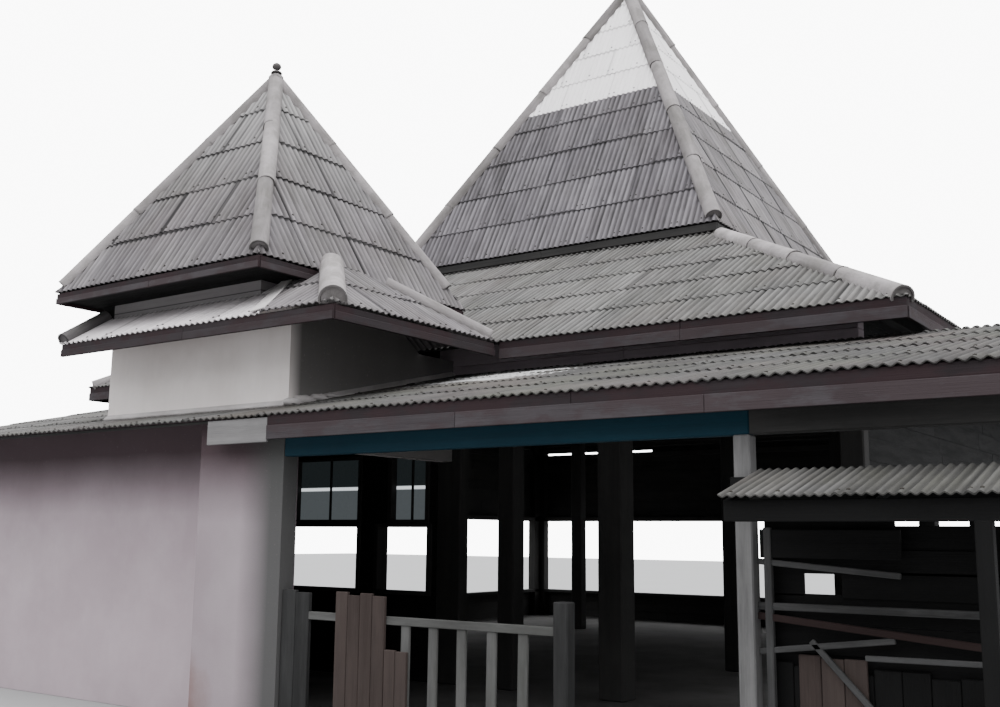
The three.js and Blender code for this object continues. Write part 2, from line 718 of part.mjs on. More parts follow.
// Lean-to roof: the stretch round the tower, and the verandah's own
const leanRun = hallFront - GAP - LEAN.front;
const leanRoof = (x0, x1, plan) =>
  roofSlab("front", LEAN.front, x0, x1, LEAN.eaveZ, LEAN.slope, leanRun, plan);
const leanLeft = leanRoof(LEAN.left, TOWER.right - GAP, [
  [LEAN.left, LEAN.front],
  [TOWER.right - GAP, LEAN.front],
  [TOWER.right - GAP, TOWER.front - GAP],
  [TOWER.left - GAP, TOWER.front - GAP],
  [TOWER.left - GAP, hallFront - GAP],
  [LEAN.left, hallFront - GAP],
]);
add("lean_to_roof", leanLeft, "slate");
add("verandah_roof", leanRoof(TOWER.right + GAP, LEAN.right, null), "slate");
const leanFasciaTop = fasciaTop(LEAN.eaveZ, LEAN.slope);
const fasciaFront = LEAN.front + FASCIA_SETBACK;
add(
  "verandah_fascia",
  box(PALE_BOARD.right, LEAN.right - 20, fasciaFront, fasciaFront + FASCIA, LEAN.fasciaBottom, leanFasciaTop),
  "fascia"
);
add(
  "pale_board",
  box(
    PALE_BOARD.left,
    PALE_BOARD.right - GAP,
    fasciaFront,
    fasciaFront + FASCIA,
    LEAN.fasciaBottom - PALE_BOARD.drop,
    leanFasciaTop
  ),
  "greyWood"
);
const beamTop = leanUnderside(BEAM.front) - GAP;
add("verandah_beam", box(BEAM.left, BEAM.right, BEAM.front, BEAM.back, BEAM.bottom, beamTop), "blue");
add(
  "front_pier",
  box(PIER.left, PIER.right, BEAM.front, BEAM.front + PIER.depth, FLOOR_TOP, beamTop).add(
    box(PIER.left, PIER.left + WALL, BEAM.front + PIER.depth - 10, TOWER.front, FLOOR_TOP, beamTop)
  ),
  "pink"
);
const post = ({ x, width }) =>
  box(x - width / 2, x + width / 2, BEAM.front, BEAM.front + width, FLOOR_TOP, BEAM.bottom);
add("main_post", post(MAIN_POST), "greyWood");
add("corner_post", post(CORNER_POST), "greyWood");

// Balustrade: boards and slats on two rails, with a board panel in front
const RAIL = { left: PIER.right + 10, right: 2800, top: 1020, bottom: 960, front: -6020, back: -5980 };
const LOW_RAIL = { bottom: 240, top: 300 };
const END_POST = { right: 2910, top: 1180 };
const LEFT_BOARD = { right: 590, top: 1175 };
const SLAT = { first: 1529, pitch: 250.5, width: 80, bottom: 200 };
const BOARD_PANEL = { left: 890, right: 1370, lowRight: 1580, top: 1180, lowTop: 790 };
const balustrade = () => {
  let frame = box(RAIL.right, END_POST.right, BEAM.front, BEAM.back, FLOOR_TOP, END_POST.top);
  frame = frame.add(box(RAIL.left, LEFT_BOARD.right, RAIL.front, RAIL.back, FLOOR_TOP, LEFT_BOARD.top));
  for (const { bottom, top } of [RAIL, LOW_RAIL]) {
    frame = frame.add(box(RAIL.left, RAIL.right + 20, RAIL.front, RAIL.back, bottom, top));
  }
  for (let x = SLAT.first; x < RAIL.right - 100; x += SLAT.pitch) {
    frame = frame.add(
      box(x - SLAT.width / 2, x + SLAT.width / 2, RAIL.front + 8, RAIL.back - 8, SLAT.bottom, RAIL.bottom + 20)
    );
  }
  return frame;
};
add("balustrade", balustrade(), "greyWood");
const boardPanel = (x0, x1, z1) => box(x0, x1, RAIL.front - 30, RAIL.front - GAP, FLOOR_TOP, z1);
add(
  "board_panel",
  boardPanel(BOARD_PANEL.left, BOARD_PANEL.right, BOARD_PANEL.top).add(
    boardPanel(BOARD_PANEL.left + 10, BOARD_PANEL.lowRight, BOARD_PANEL.lowTop)
  ),
  "brownBoard"
);

// Stall: sloping sheet roof on a front beam, ledger and post, with rails and boards
const STALL_BEAM = { inset: 50, depth: 60, bottom: 1685 };
const STALL_LEDGER = { depth: 60, bottom: 1800 };
const STALL_POST = { left: 5520, right: 5600 };
const STALL_RAFTER = { inset: 80, depth: 70, width: 50 };
const stallSurface = (y) => STALL.eaveZ + STALL.slope * (y - STALL.front);
const stallRun = STALL.back - STALL.front;
add(
  "stall_roof",
  roofSlab("front", STALL.front, STALL.left, STALL.right, STALL.eaveZ, STALL.slope, stallRun, null),
  "slate"
);
const stallUnder = (y) => stallSurface(y) - upright(STALL.slope) - GAP;
const stallFrame = () => {
  const beamFront = STALL.front + STALL_BEAM.inset;
  const beamBack = beamFront + STALL_BEAM.depth;
  const ledgerFront = STALL.back - STALL_LEDGER.depth;
  const back = BEAM.front - GAP;
  const left = STALL.left + 10;
  const right = STALL.right - 30;
  const { inset, depth, width } = STALL_RAFTER;
  const { bottom } = STALL_BEAM;
  let frame = box(left, right, beamFront, beamBack, bottom, stallUnder(beamFront));
  frame = frame.add(
    box(MAIN_POST.x - 50, right, ledgerFront, back, STALL_LEDGER.bottom, stallUnder(ledgerFront))
  );
  frame = frame.add(
    box(STALL_POST.left, STALL_POST.right, beamFront - 10, beamBack + 10, 0, bottom + 5)
  );
  const rafter = [
    [inset, stallUnder(STALL.front + inset) - depth],
    [stallRun - 30, stallUnder(STALL.back - 30) - depth],
    [stallRun - 30, stallUnder(STALL.back - 30)],
    [inset, stallUnder(STALL.front + inset)],
  ];
  frame = frame.add(sectionRun("front", rafter, STALL.front, left, left + width));
  return frame.add(sectionRun("front", rafter, STALL.front, right - width, right));
};
add("stall_frame", stallFrame(), "dark");

// Rails, loose branches and boards between the two posts behind the stall
const tiltedBoard = (x0, z0, x1, z1, height, y0, y1) => {
  const section = [
    [x0, z0 - height / 2],
    [x1, z1 - height / 2],
    [x1, z1 + height / 2],
    [x0, z0 + height / 2],
  ];
  const geometry = new THREE.ExtrudeGeometry(outline(section), { depth: y1 - y0, bevelEnabled: false });
  geometry.rotateX(Math.PI / 2);
  geometry.translate(0, y1, 0);
  return solidOf(geometry);
};
const BAY = {
  left: MAIN_POST.x + MAIN_POST.width / 2 + GAP,
  right: CORNER_POST.x - CORNER_POST.width / 2 - GAP,
  front: -6000,
  back: -5960,
};

// Each loose board as [start x, start z, end x, end z, height, front, back]
const LOOSE_BOARDS = [
  [BAY.left, 1211, BAY.right - 20, 1211, 42, -5990, -5965],
  [BAY.left, 1156, BAY.right - 20, 1032, 40, -5995, -5970],
  [BAY.left, 955, 4945, 1056, 34, -5993, -5972],
  [BAY.left, 1466, 4990, 1400, 34, -5992, -5970],
  [4480, 1030, 4800, 690, 34, -5999, -5974],
  [4780, 955, BAY.right - 20, 965, 30, -5990, -5968],
  [5150, 640, BAY.right - 20, 790, 34, -5999, -5972],
];
const BAY_POST = { left: BAY.left + 45, right: BAY.left + 90, top: 1660 };
const BAY_END_POST = { left: BAY.right - 60, bottom: 500, top: 1500 };
const WIDE_BOARD = { left: BAY.left + 20, right: 5000, front: -5995, back: -5975, bottom: 1490, top: 1650 };
const STALL_PANEL = { left: 4390, right: 4780, front: -5955, back: -5935, top: 950 };
const LOW_BOARDS = { left: 4200, right: 5560, front: -5930, back: -5910, top: 900 };
const stallRails = () => {
  let rails = box(BAY_POST.left, BAY_POST.right, BAY.front, BAY.back, FLOOR_TOP, BAY_POST.top);
  rails = rails.add(
    box(BAY_END_POST.left, BAY.right, BAY.front, BAY.back, BAY_END_POST.bottom, BAY_END_POST.top)
  );
  for (const board of LOOSE_BOARDS) {
    rails = rails.add(tiltedBoard(...board));
  }
  return rails.add(onFloor(WIDE_BOARD, WIDE_BOARD.bottom));
};
add("stall_rails", stallRails(), "greyWood");
add("stall_panel", onFloor(STALL_PANEL), "brownBoard");
add("stall_low_boards", onFloor(LOW_BOARDS), "dark");
add("spire_finial", finial(HALL.x, HALL.y, topOf(spireCaps)), "cap");
add("tower_finial", finial(TOWER_SPIRE.x, TOWER_SPIRE.y, topOf(towerCaps)), "cap");

export default house;
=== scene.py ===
"""Looks of a village hall with two pyramid roofs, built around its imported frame.

Metres, +Z up, X along the entrance side, +Y away from it. Each sub-assembly lays its own
sheets, caps, boards and mortar over the solids of the frame.
"""

import logging
import math
import random
from dataclasses import dataclass
from enum import Enum
from typing import Callable

import bmesh
import bpy
from mathutils import Matrix, Vector


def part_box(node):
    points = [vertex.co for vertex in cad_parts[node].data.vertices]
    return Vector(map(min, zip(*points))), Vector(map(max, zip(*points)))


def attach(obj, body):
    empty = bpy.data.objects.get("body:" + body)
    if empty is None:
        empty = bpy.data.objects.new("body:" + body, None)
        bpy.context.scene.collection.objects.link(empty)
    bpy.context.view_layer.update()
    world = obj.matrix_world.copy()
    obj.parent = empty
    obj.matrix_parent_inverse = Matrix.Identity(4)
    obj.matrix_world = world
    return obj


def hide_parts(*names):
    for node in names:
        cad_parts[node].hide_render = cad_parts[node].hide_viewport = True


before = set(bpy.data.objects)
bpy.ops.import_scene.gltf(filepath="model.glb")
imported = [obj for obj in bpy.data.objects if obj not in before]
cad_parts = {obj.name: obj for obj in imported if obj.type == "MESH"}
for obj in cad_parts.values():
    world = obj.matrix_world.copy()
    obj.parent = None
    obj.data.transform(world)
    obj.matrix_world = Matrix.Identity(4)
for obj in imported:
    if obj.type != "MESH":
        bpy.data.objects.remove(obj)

logging.basicConfig(level=logging.INFO, format="%(name)s: %(message)s")
log = logging.getLogger("hall")

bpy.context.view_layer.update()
WAVE_PITCH = 0.076
X_AXIS = Vector((1.0, 0.0, 0.0))
UP = Vector((0.0, 0.0, 1.0))
MAPS = ("Flow", "Sheet", "Lap")
FLOOR_TOP = 0.12

Pair = tuple[float, float]
Triple = tuple[float, float, float]
Quad = tuple[float, float, float, float]
Box = tuple[Vector, Vector]
Colour = Quad
Node = bpy.types.Node
Tree = bpy.types.NodeTree
Socket = bpy.types.NodeSocket
BMesh = bmesh.types.BMesh
Value = Socket | float
Spot = Vector | Triple


def rgba(red: float, green: float, blue: float) -> Colour:
    """A colour socket's value."""
    return (red, green, blue, 1.0)


def grey(level: float, warmth: float = 0.0) -> Colour:
    """A grey with more red than blue, or less where the warmth is below zero."""
    return (level * (1.0 + warmth), level, level * (1.0 - warmth), 1.0)


class Graph:
    """Adds nodes to one node tree and joins them."""

    RELIEF_STRENGTH = 0.8
    SHEEN = 0.12

    def __init__(self, tree: Tree) -> None:
        """Takes the node tree of a material, a world or a group."""
        self.tree = tree

    def add(self, kind: str, inputs: dict | None = None, **settings: object) -> Node:
        """Adds a node.

        Args:
            kind: the node's type name.
            inputs: socket name or number to a value, or to the socket that feeds it.
            settings: properties of the node.

        Returns:
            The new node.
        """
        node = self.tree.nodes.new(kind)
        for key, value in settings.items():
            setattr(node, key, value)
        for key, value in (inputs or {}).items():
            if isinstance(value, Socket):
                self.tree.links.new(value, node.inputs[key])
            else:
                node.inputs[key].default_value = value
        return node

    def math(self, operation: str, a: Value, b: Value = 0.0, c: Value = 0.0) -> Socket:
        """Joins values with an operation."""
        return self.add("ShaderNodeMath", {0: a, 1: b, 2: c}, operation=operation).outputs[0]

    def mix(self, share: Value, a: Colour | Socket, b: Colour | Socket) -> Socket:
        """Mixes two colours."""
        return self.add("ShaderNodeMix", {0: share, 6: a, 7: b}, data_type="RGBA").outputs[2]

    def tint(self, colour: Socket, mask: Value, share: float, other: Colour) -> Socket:
        """Mixes another colour in where a mask is, up to a share."""
        return self.mix(self.math("MULTIPLY", mask, share), colour, other)

    def spread(
        self, value: Value, low: Value, high: Value, to_low: float = 0.0, to_high: float = 1.0
    ) -> Socket:
        """Maps a range of a value to another range, clamped."""
        sockets = {0: value, 1: low, 2: high, 3: to_low, 4: to_high}
        return self.add("ShaderNodeMapRange", sockets).outputs[0]

    def noise(
        self, vector: Socket, scale: float, detail: float = 5.0, rough: float = 0.6
    ) -> Socket:
        """Adds a noise and returns its value."""
        sockets = {"Vector": vector, "Scale": scale, "Detail": detail, "Roughness": rough}
        return self.add("ShaderNodeTexNoise", sockets).outputs[0]

    def stretch(self, vector: Socket, by: Triple) -> Socket:
        """Stretches a vector along its three axes."""
        return self.add("ShaderNodeMapping", {"Vector": vector, "Scale": by}).outputs[0]

    def times(self, vector: Socket, by: Value) -> Socket:
        """Scales a vector by one value."""
        sockets = {0: vector, "Scale": by}
        return self.add("ShaderNodeVectorMath", sockets, operation="SCALE").outputs[0]

    def parts(self, vector: Socket) -> tuple[Socket, Socket, Socket]:
        """Splits a vector."""
        return tuple(self.add("ShaderNodeSeparateXYZ", {0: vector}).outputs)

    def joined(self, x: Value, y: Value, z: Value = 0.0) -> Socket:
        """Joins three values into a vector."""
        return self.add("ShaderNodeCombineXYZ", {0: x, 1: y, 2: z}).outputs[0]

    def map(self, name: str) -> Socket:
        """A UV map of the piece."""
        return self.add("ShaderNodeUVMap", uv_map=name).outputs[0]

    def place(self) -> Socket:
        """The point's place in the building's frame."""
        return self.add("ShaderNodeTexCoord").outputs["Object"]

    def effect(self, tree: Tree, **inputs: Value) -> Socket:
        """Places a shared effect, whose inputs are named in small letters."""
        named = {key.capitalize(): value for key, value in inputs.items()}
        return self.add("ShaderNodeGroup", named, node_tree=tree).outputs[0]

    def finish(
        self, shader: Node, colour: Socket, rough: Value, height: Socket, depth: float
    ) -> None:
        """Feeds a shader with its colour, roughness and relief.

        Args:
            shader: the material's Principled BSDF.
            colour: its base colour.
            rough: its roughness.
            height: the relief, from 0 to 1.
            depth: the relief's depth in metres.
        """
        relief = {"Height": height, "Strength": self.RELIEF_STRENGTH, "Distance": depth}
        bump = self.add("ShaderNodeBump", relief)
        self.tree.links.new(bump.outputs[0], shader.inputs["Normal"])
        self.tree.links.new(colour, shader.inputs["Base Color"])
        if isinstance(rough, Socket):
            self.tree.links.new(rough, shader.inputs["Roughness"])
        else:
            shader.inputs["Roughness"].default_value = rough
        shader.inputs["Specular IOR Level"].default_value = self.SHEEN


def node_group(
    name: str, inputs: dict[str, float | None], output: str, build: Callable[[Graph, dict], Socket]
) -> Tree:
    """Makes a shader node group with named inputs and one named value output.

    Args:
        name: the group's name.
        inputs: input name to its default number, or None for a vector.
        output: the output's name.
        build: gets the Graph and the input sockets by name, and returns the output's socket.

    Returns:
        The group's node tree.
    """
    tree = bpy.data.node_groups.new(name, "ShaderNodeTree")
    for label, default in inputs.items():
        kind = "NodeSocketVector" if default is None else "NodeSocketFloat"
        socket = tree.interface.new_socket(label, in_out="INPUT", socket_type=kind)
        if default is not None:
            socket.default_value = default
    tree.interface.new_socket(output, in_out="OUTPUT", socket_type="NodeSocketFloat")
    graph = Graph(tree)
    entry = graph.add("NodeGroupInput")
    made = build(graph, {label: entry.outputs[label] for label in inputs})
    graph.add("NodeGroupOutput", {output: made})
    return tree


class Effects:
    """The effects that several finishes share, each a node group that is built once."""

    def __init__(self) -> None:
        """Builds the groups."""
        patch_inputs = {"Vector": None, "Scale": 1.0, "Cover": 0.4, "Softness": 0.2}
        self.patches = node_group("weather_patches", patch_inputs, "Mask", self._patches)
        streak_inputs = {"Vector": None, "Across": 9.0, "Along": 0.7, "Cover": 0.4}
        self.streaks = node_group("run_off_streaks", streak_inputs, "Mask", self._streaks)
        furrow_inputs = {"Vector": None, "Pitch": WAVE_PITCH}
        self.furrows = node_group("wave_furrows", furrow_inputs, "Mask", self._furrows)
        grain_inputs = {"Vector": None, "Fineness": 1.0}
        self.grain = node_group("wood_grain", grain_inputs, "Grain", self._grain)
        self.tones = node_group("board_tones", {"Vector": None}, "Tone", self._tones)
        self.plaster = node_group("plaster_relief", {"Vector": None}, "Height", self._plaster)

    @staticmethod
    def _patches(graph: Graph, given: dict[str, Socket]) -> Socket:
        """Cloudy patches: the cover sets how much they take up.

        Args:
            graph: adds the nodes.
            given: the group's inputs by name.

        Returns:
            The mask.
        """
        noise = graph.noise(graph.times(given["Vector"], given["Scale"]), 1.0, 7.0, 0.62)
        edge = graph.math("SUBTRACT", 0.72, given["Cover"])
        return graph.spread(noise, edge, graph.math("ADD", edge, given["Softness"]))

    @staticmethod
    def _streaks(graph: Graph, given: dict[str, Socket]) -> Socket:
        """Streaks that run along the vector's second axis.

        Args:
            graph: adds the nodes.
            given: the group's inputs by name.

        Returns:
            The mask.
        """
        scale = graph.joined(given["Across"], given["Along"], 1.0)
        sockets = {0: given["Vector"], 1: scale}
        stretched = graph.add("ShaderNodeVectorMath", sockets, operation="MULTIPLY")
        noise = graph.noise(stretched.outputs[0], 1.0, 6.0, 0.65)
        edge = graph.math("SUBTRACT", 0.7, given["Cover"])
        return graph.spread(noise, edge, graph.math("ADD", edge, 0.25))

    @staticmethod
    def _furrows(graph: Graph, given: dict[str, Socket]) -> Socket:
        """The troughs of a sheet's waves, whose crests are at whole pitches.

        Args:
            graph: adds the nodes.
            given: the group's inputs by name.

        Returns:
            The mask.
        """
        across = graph.parts(given["Vector"])[0]
        angle = graph.math("MULTIPLY", graph.math("DIVIDE", across, given["Pitch"]), math.tau)
        return graph.spread(graph.math("COSINE", angle), 0.8, -0.7)

    @staticmethod
    def _grain(graph: Graph, given: dict[str, Socket]) -> Socket:
        """Fibres and rings along the vector's first axis.

        Args:
            graph: adds the nodes.
            given: the group's inputs by name.

        Returns:
            The grain.
        """
        fine = graph.times(given["Vector"], given["Fineness"])
        fibres = graph.noise(graph.stretch(fine, (2.2, 110.0, 1.0)), 1.0, 8.0, 0.7)
        rings = graph.noise(graph.stretch(fine, (0.7, 17.0, 1.0)), 1.0, 3.0, 0.5)
        return graph.spread(graph.math("MULTIPLY", fibres, rings), 0.12, 0.42)

    @staticmethod
    def _tones(graph: Graph, given: dict[str, Socket]) -> Socket:
        """One random tone for each whole number along the vector's second axis."""
        lane = graph.math("FLOOR", graph.parts(given["Vector"])[1])
        return graph.add("ShaderNodeTexWhiteNoise", {"W": lane}, noise_dimensions="1D").outputs[0]

    @staticmethod
    def _plaster(graph: Graph, given: dict[str, Socket]) -> Socket:
        """Trowelled plaster: slow waves and a fine sand.

        Args:
            graph: adds the nodes.
            given: the group's inputs by name.

        Returns:
            The height.
        """
        slow = graph.noise(given["Vector"], 2.5, 2.0, 0.5)
        sand = graph.noise(given["Vector"], 60.0, 4.0, 0.6)
        waves = graph.math("MULTIPLY", slow, 0.8)
        return graph.math("ADD", waves, graph.math("MULTIPLY", sand, 0.2))


@dataclass(frozen=True)
class SheetFinish:
    """Weathered corrugated sheet. Needs the maps Flow, Sheet and Lap.

    Args:
        dark: colour of the darkest sheets.
        light: colour of the palest sheets.
        furrow: how dark the troughs are with dirt and painted shade, from 0 to 1.
        soot: how much dark run-off there is, from 0 to 1.
        bleach: how much pale run-off there is, from 0 to 1.
        stain: how much lichen and pink bloom there is, from 0 to 1.
        lap_shadow_and_joint: how dark the painted shadow below each lap and the side joints are,
            from 0 to 1.
        crown: heights between which the sheets bleach towards the roof's top, if they do.
        lime: middle of a patch of spilt lime, if there is one.
    """

    dark: Colour
    light: Colour
    furrow: float = 0.5
    soot: float = 0.55
    bleach: float = 0.5
    stain: float = 0.35
    lap_shadow_and_joint: float = 0.75
    crown: Pair | None = None
    lime: Triple | None = None

    def dress(self, graph: Graph, shader: Node, effects: Effects) -> None:
        """Builds the finish on a shader.

        Args:
            graph: adds the nodes.
            shader: the material's shader.
            effects: the shared effects.
        """
        flow, place = graph.map("Flow"), graph.place()
        tone, chance, _ = graph.parts(graph.map("Sheet"))
        across, rise, _ = graph.parts(graph.map("Lap"))
        colour = graph.mix(tone, self.dark, self.light)
        wave = graph.math("MULTIPLY_ADD", graph.parts(flow)[0], 1.0 / WAVE_PITCH, 0.5)
        lane = graph.math("ADD", wave, graph.math("FLOOR", graph.math("MULTIPLY", chance, 97.0)))
        wave_tone = graph.effect(effects.tones, vector=graph.joined(0.0, lane))
        wave_dark = graph.spread(wave_tone, 0.2, 1.0, 0.0, self.furrow * 0.7)
        colour = graph.mix(wave_dark, colour, self.dark)
        mottle = graph.noise(place, 2.1, 9.0, 0.7)
        colour = graph.mix(graph.spread(mottle, 0.36, 0.68, 0.0, 0.7), colour, self.dark)
        lichen = graph.effect(effects.patches, vector=place, scale=1.3, cover=0.29, softness=0.2)
        colour = graph.tint(colour, lichen, self.stain, rgba(0.10, 0.10, 0.08))
        turned = graph.stretch(place, (-1.0, 1.0, 1.3))
        bloom = graph.effect(effects.patches, vector=turned, scale=0.9, cover=0.27, softness=0.25)
        colour = graph.tint(colour, bloom, self.stain, rgba(0.13, 0.105, 0.10))
        pale = graph.effect(effects.streaks, vector=flow, across=11.0, along=1.5, cover=0.26)
        colour = graph.tint(colour, pale, self.bleach, self.light)
        if self.crown:
            high = graph.math("MULTIPLY_ADD", mottle, 1.6, graph.parts(place)[2])
            bleached = graph.spread(high, self.crown[0] + 0.8, self.crown[1] + 0.8, 0.0, 0.75)
            colour = graph.mix(bleached, colour, grey(0.37, 0.02))
        # The troughs darken with dirt and with painted shade, more under the soot streaks, which
        # also tint the sheet with run-off.
        furrow = graph.effect(effects.furrows, vector=flow)
        shifted = graph.stretch(flow, (1.0, -1.0, 1.0))
        soot_and_painted_shade = graph.effect(effects.streaks, vector=shifted, across=13.0, along=0.9, cover=0.28)
        depth = graph.spread(soot_and_painted_shade, 0.0, 1.0, self.furrow * 0.55, self.furrow)
        trough_dirt_and_shade = graph.math("MULTIPLY", furrow, depth)
        colour = graph.mix(trough_dirt_and_shade, colour, grey(0.018, 0.03))
        colour = graph.tint(colour, soot_and_painted_shade, self.soot * 0.5, grey(0.025, 0.02))
        # Painted shadow on each sheet just below the lower edge of the course above; the side
        # joints are dark lines.
        under = graph.spread(rise, 0.935, 0.97)
        right, left = graph.spread(across, 0.965, 0.985), graph.spread(across, 0.04, 0.01)
        side = graph.math("MAXIMUM", right, left)
        edge = graph.math("MULTIPLY", side, graph.spread(chance, 0.15, 0.7, 0.15, self.lap_shadow_and_joint))
        colour = graph.tint(colour, under, self.lap_shadow_and_joint, grey(0.014))
        colour = graph.mix(edge, colour, grey(0.014))
        if self.lime:
            away = graph.add("ShaderNodeVectorMath", {0: place, 1: self.lime}, operation="DISTANCE")
            cloud = graph.noise(graph.stretch(place, (1.0, 2.5, 1.0)), 2.3, 6.0)
            torn = graph.math("MULTIPLY", cloud, -2.6)
            ragged = graph.math("ADD", away.outputs["Value"], torn)
            spilt = graph.spread(ragged, -0.55, -0.85, 0.0, 0.9)
            colour = graph.mix(spilt, colour, grey(0.42, 0.01))
        grit = graph.noise(place, 120.0, 3.0, 0.6)
        height = graph.math("ADD", grit, graph.math("MULTIPLY", mottle, 0.5))
        graph.finish(shader, colour, 0.93, height, 0.004)


@dataclass(frozen=True)
class CapFinish:
    """Mortared ridge caps. Needs the maps Flow, Sheet and Lap.

    Args:
        dark: colour of the darkest caps.
        light: colour of the palest caps.
    """

    dark: Colour
    light: Colour

    def dress(self, graph: Graph, shader: Node, effects: Effects) -> None:
        """Builds the finish on a shader.

        Args:
            graph: adds the nodes.
            shader: the material's shader.
            effects: the shared effects.
        """
        flow, place = graph.map("Flow"), graph.place()
        tone = graph.parts(graph.map("Sheet"))[0]
        rise = graph.parts(graph.map("Lap"))[1]
        colour = graph.mix(tone, self.dark, self.light)
        mottle = graph.noise(place, 4.0, 8.0, 0.7)
        colour = graph.mix(graph.spread(mottle, 0.4, 0.72, 0.0, 0.6), colour, self.dark)
        moss = graph.effect(effects.patches, vector=place, scale=3.1, cover=0.28, softness=0.15)
        colour = graph.tint(colour, moss, 0.35, rgba(0.07, 0.07, 0.055))
        worn = graph.effect(effects.streaks, vector=flow, across=9.0, along=1.2, cover=0.24)
        colour = graph.tint(colour, worn, 0.5, self.light)
        colour = graph.mix(graph.spread(rise, 0.02, 0.0, 0.0, 0.5), colour, grey(0.025, 0.05))
        swell = graph.math("MULTIPLY", mottle, 0.6)
        height = graph.math("ADD", swell, graph.noise(place, 70.0, 4.0, 0.6))
        graph.finish(shader, colour, 0.95, height, 0.006)


@dataclass(frozen=True)
class MasonryFinish:
    """Painted plaster, mortar or concrete.

    Args:
        base: main colour.
        dark: colour of its stains.
        light: colour of its worn or rinsed patches.
        runs: how much dark run-off there is, from 0 to 1.
        foot: how strong the brown stain at the wall's foot is, from 0 to 1.
        foot_x: where along the wall the stain is.
        eave: heights where the dark shade under an eave begins and is full, and its strength.
        soot_and_painted_shade: (x, y) beyond which the wall is darkened as painted shade, over what
            width, and how much.
    """

    base: Colour
    dark: Colour
    light: Colour
    runs: float = 0.3
    foot: float = 0.0
    foot_x: float = -0.8
    eave: Triple | None = None
    soot_and_painted_shade: Quad | None = None

    def dress(self, graph: Graph, shader: Node, effects: Effects) -> None:
        """Builds the finish on a shader.

        Args:
            graph: adds the nodes.
            shader: the material's shader.
            effects: the shared effects.
        """
        place = graph.place()
        x, y, z = graph.parts(place)
        slow = graph.noise(place, 0.9, 5.0, 0.6)
        colour = graph.mix(graph.spread(slow, 0.35, 0.7, 0.0, 0.6), self.base, self.dark)
        pale = graph.effect(effects.patches, vector=place, scale=1.1, cover=0.28, softness=0.25)
        colour = graph.tint(colour, pale, 0.6, self.light)
        sheet = graph.joined(graph.math("ADD", x, y), z)
        runs = graph.effect(effects.streaks, vector=sheet, across=5.0, along=0.5, cover=0.24)
        colour = graph.tint(colour, runs, self.runs, self.dark)
        if self.foot:
            away = graph.math("ABSOLUTE", graph.math("SUBTRACT", x, self.foot_x))
            rise = graph.math("MULTIPLY_ADD", away, 1.9, graph.math("MULTIPLY", z, 0.9))
            ragged = graph.math("SUBTRACT", rise, graph.noise(place, 3.1, 5.0, 0.65))
            stain = graph.spread(ragged, 0.45, -0.25, 0.0, self.foot)
            colour = graph.mix(stain, colour, rgba(0.17, 0.095, 0.08))
        if self.eave:
            low, high, strength = self.eave
            level = graph.math("MULTIPLY_ADD", slow, 0.12, graph.math("SUBTRACT", z, 0.06))
            shade = graph.spread(level, low, high, 0.0, strength)
            colour = graph.mix(shade, colour, rgba(0.05, 0.033, 0.037))
        # Painted shade: beyond a line in plan the wall darkens towards near black, where shade
        # falls on it.
        if self.soot_and_painted_shade:
            start, behind, width, strength = self.soot_and_painted_shade
            rear = graph.spread(y, behind, behind + 0.12)
            beyond = graph.math("MULTIPLY", graph.spread(x, start, start + width), rear)
            colour = graph.tint(colour, beyond, strength, rgba(0.060, 0.062, 0.060))
        specks = graph.noise(place, 38.0, 4.0, 0.7)
        colour = graph.mix(graph.spread(specks, 0.62, 0.8, 0.0, 0.35), colour, self.dark)
        graph.finish(shader, colour, 0.9, graph.effect(effects.plaster, vector=place), 0.008)


@dataclass(frozen=True)
class TimberFinish:
    """Boards and posts with their grain, and what is left of their paint.

    Args:
        base: main colour.
        dark: colour of the grain and stains.
        light: colour of bare, weathered wood.
        paint: colour of the paint that is left in patches, if any.
        bare: how much weathered wood shows, from 0 to 1.
        planks: height of the planks on a solid that has no map of its own, or 0.
    """

    base: Colour
    dark: Colour
    light: Colour
    paint: Colour | None = None
    bare: float = 0.4
    planks: float = 0.0

    def dress(self, graph: Graph, shader: Node, effects: Effects) -> None:
        """Builds the finish on a shader.

        Args:
            graph: adds the nodes.
            shader: the material's shader.
            effects: the shared effects.
        """
        place = graph.place()
        if self.planks:
            x, y, z = graph.parts(place)
            flow = graph.joined(graph.math("ADD", x, y), z)
            lanes = graph.times(flow, 1.0 / self.planks)
        else:
            flow = lanes = graph.map("Flow")
        grain = graph.effect(effects.grain, vector=flow)
        colour = graph.mix(graph.spread(grain, 0.0, 1.0, 0.0, 0.8), self.base, self.dark)
        tone = graph.effect(effects.tones, vector=lanes)
        colour = graph.tint(colour, tone, 0.35, self.light)
        worn = graph.effect(effects.streaks, vector=flow, across=1.3, along=9.0, cover=0.26)
        colour = graph.tint(colour, worn, self.bare, self.light)
        if self.paint:
            flat = graph.stretch(place, (1.0, 1.0, 2.5))
            patch = graph.effect(effects.patches, vector=flat, scale=2.2, cover=0.27, softness=0.1)
            colour = graph.tint(colour, patch, 0.75, self.paint)
        damp = graph.effect(effects.patches, vector=place, scale=1.2, cover=0.28, softness=0.3)
        colour = graph.tint(colour, damp, 0.5, self.dark)
        if self.planks:
            seam = graph.math("FRACT", graph.parts(lanes)[1])
            colour = graph.mix(graph.spread(seam, 0.05, 0.01, 0.0, 0.8), colour, grey(0.004))
        graph.finish(shader, colour, graph.spread(worn, 0.0, 1.0, 0.72, 0.9), grain, 0.002)


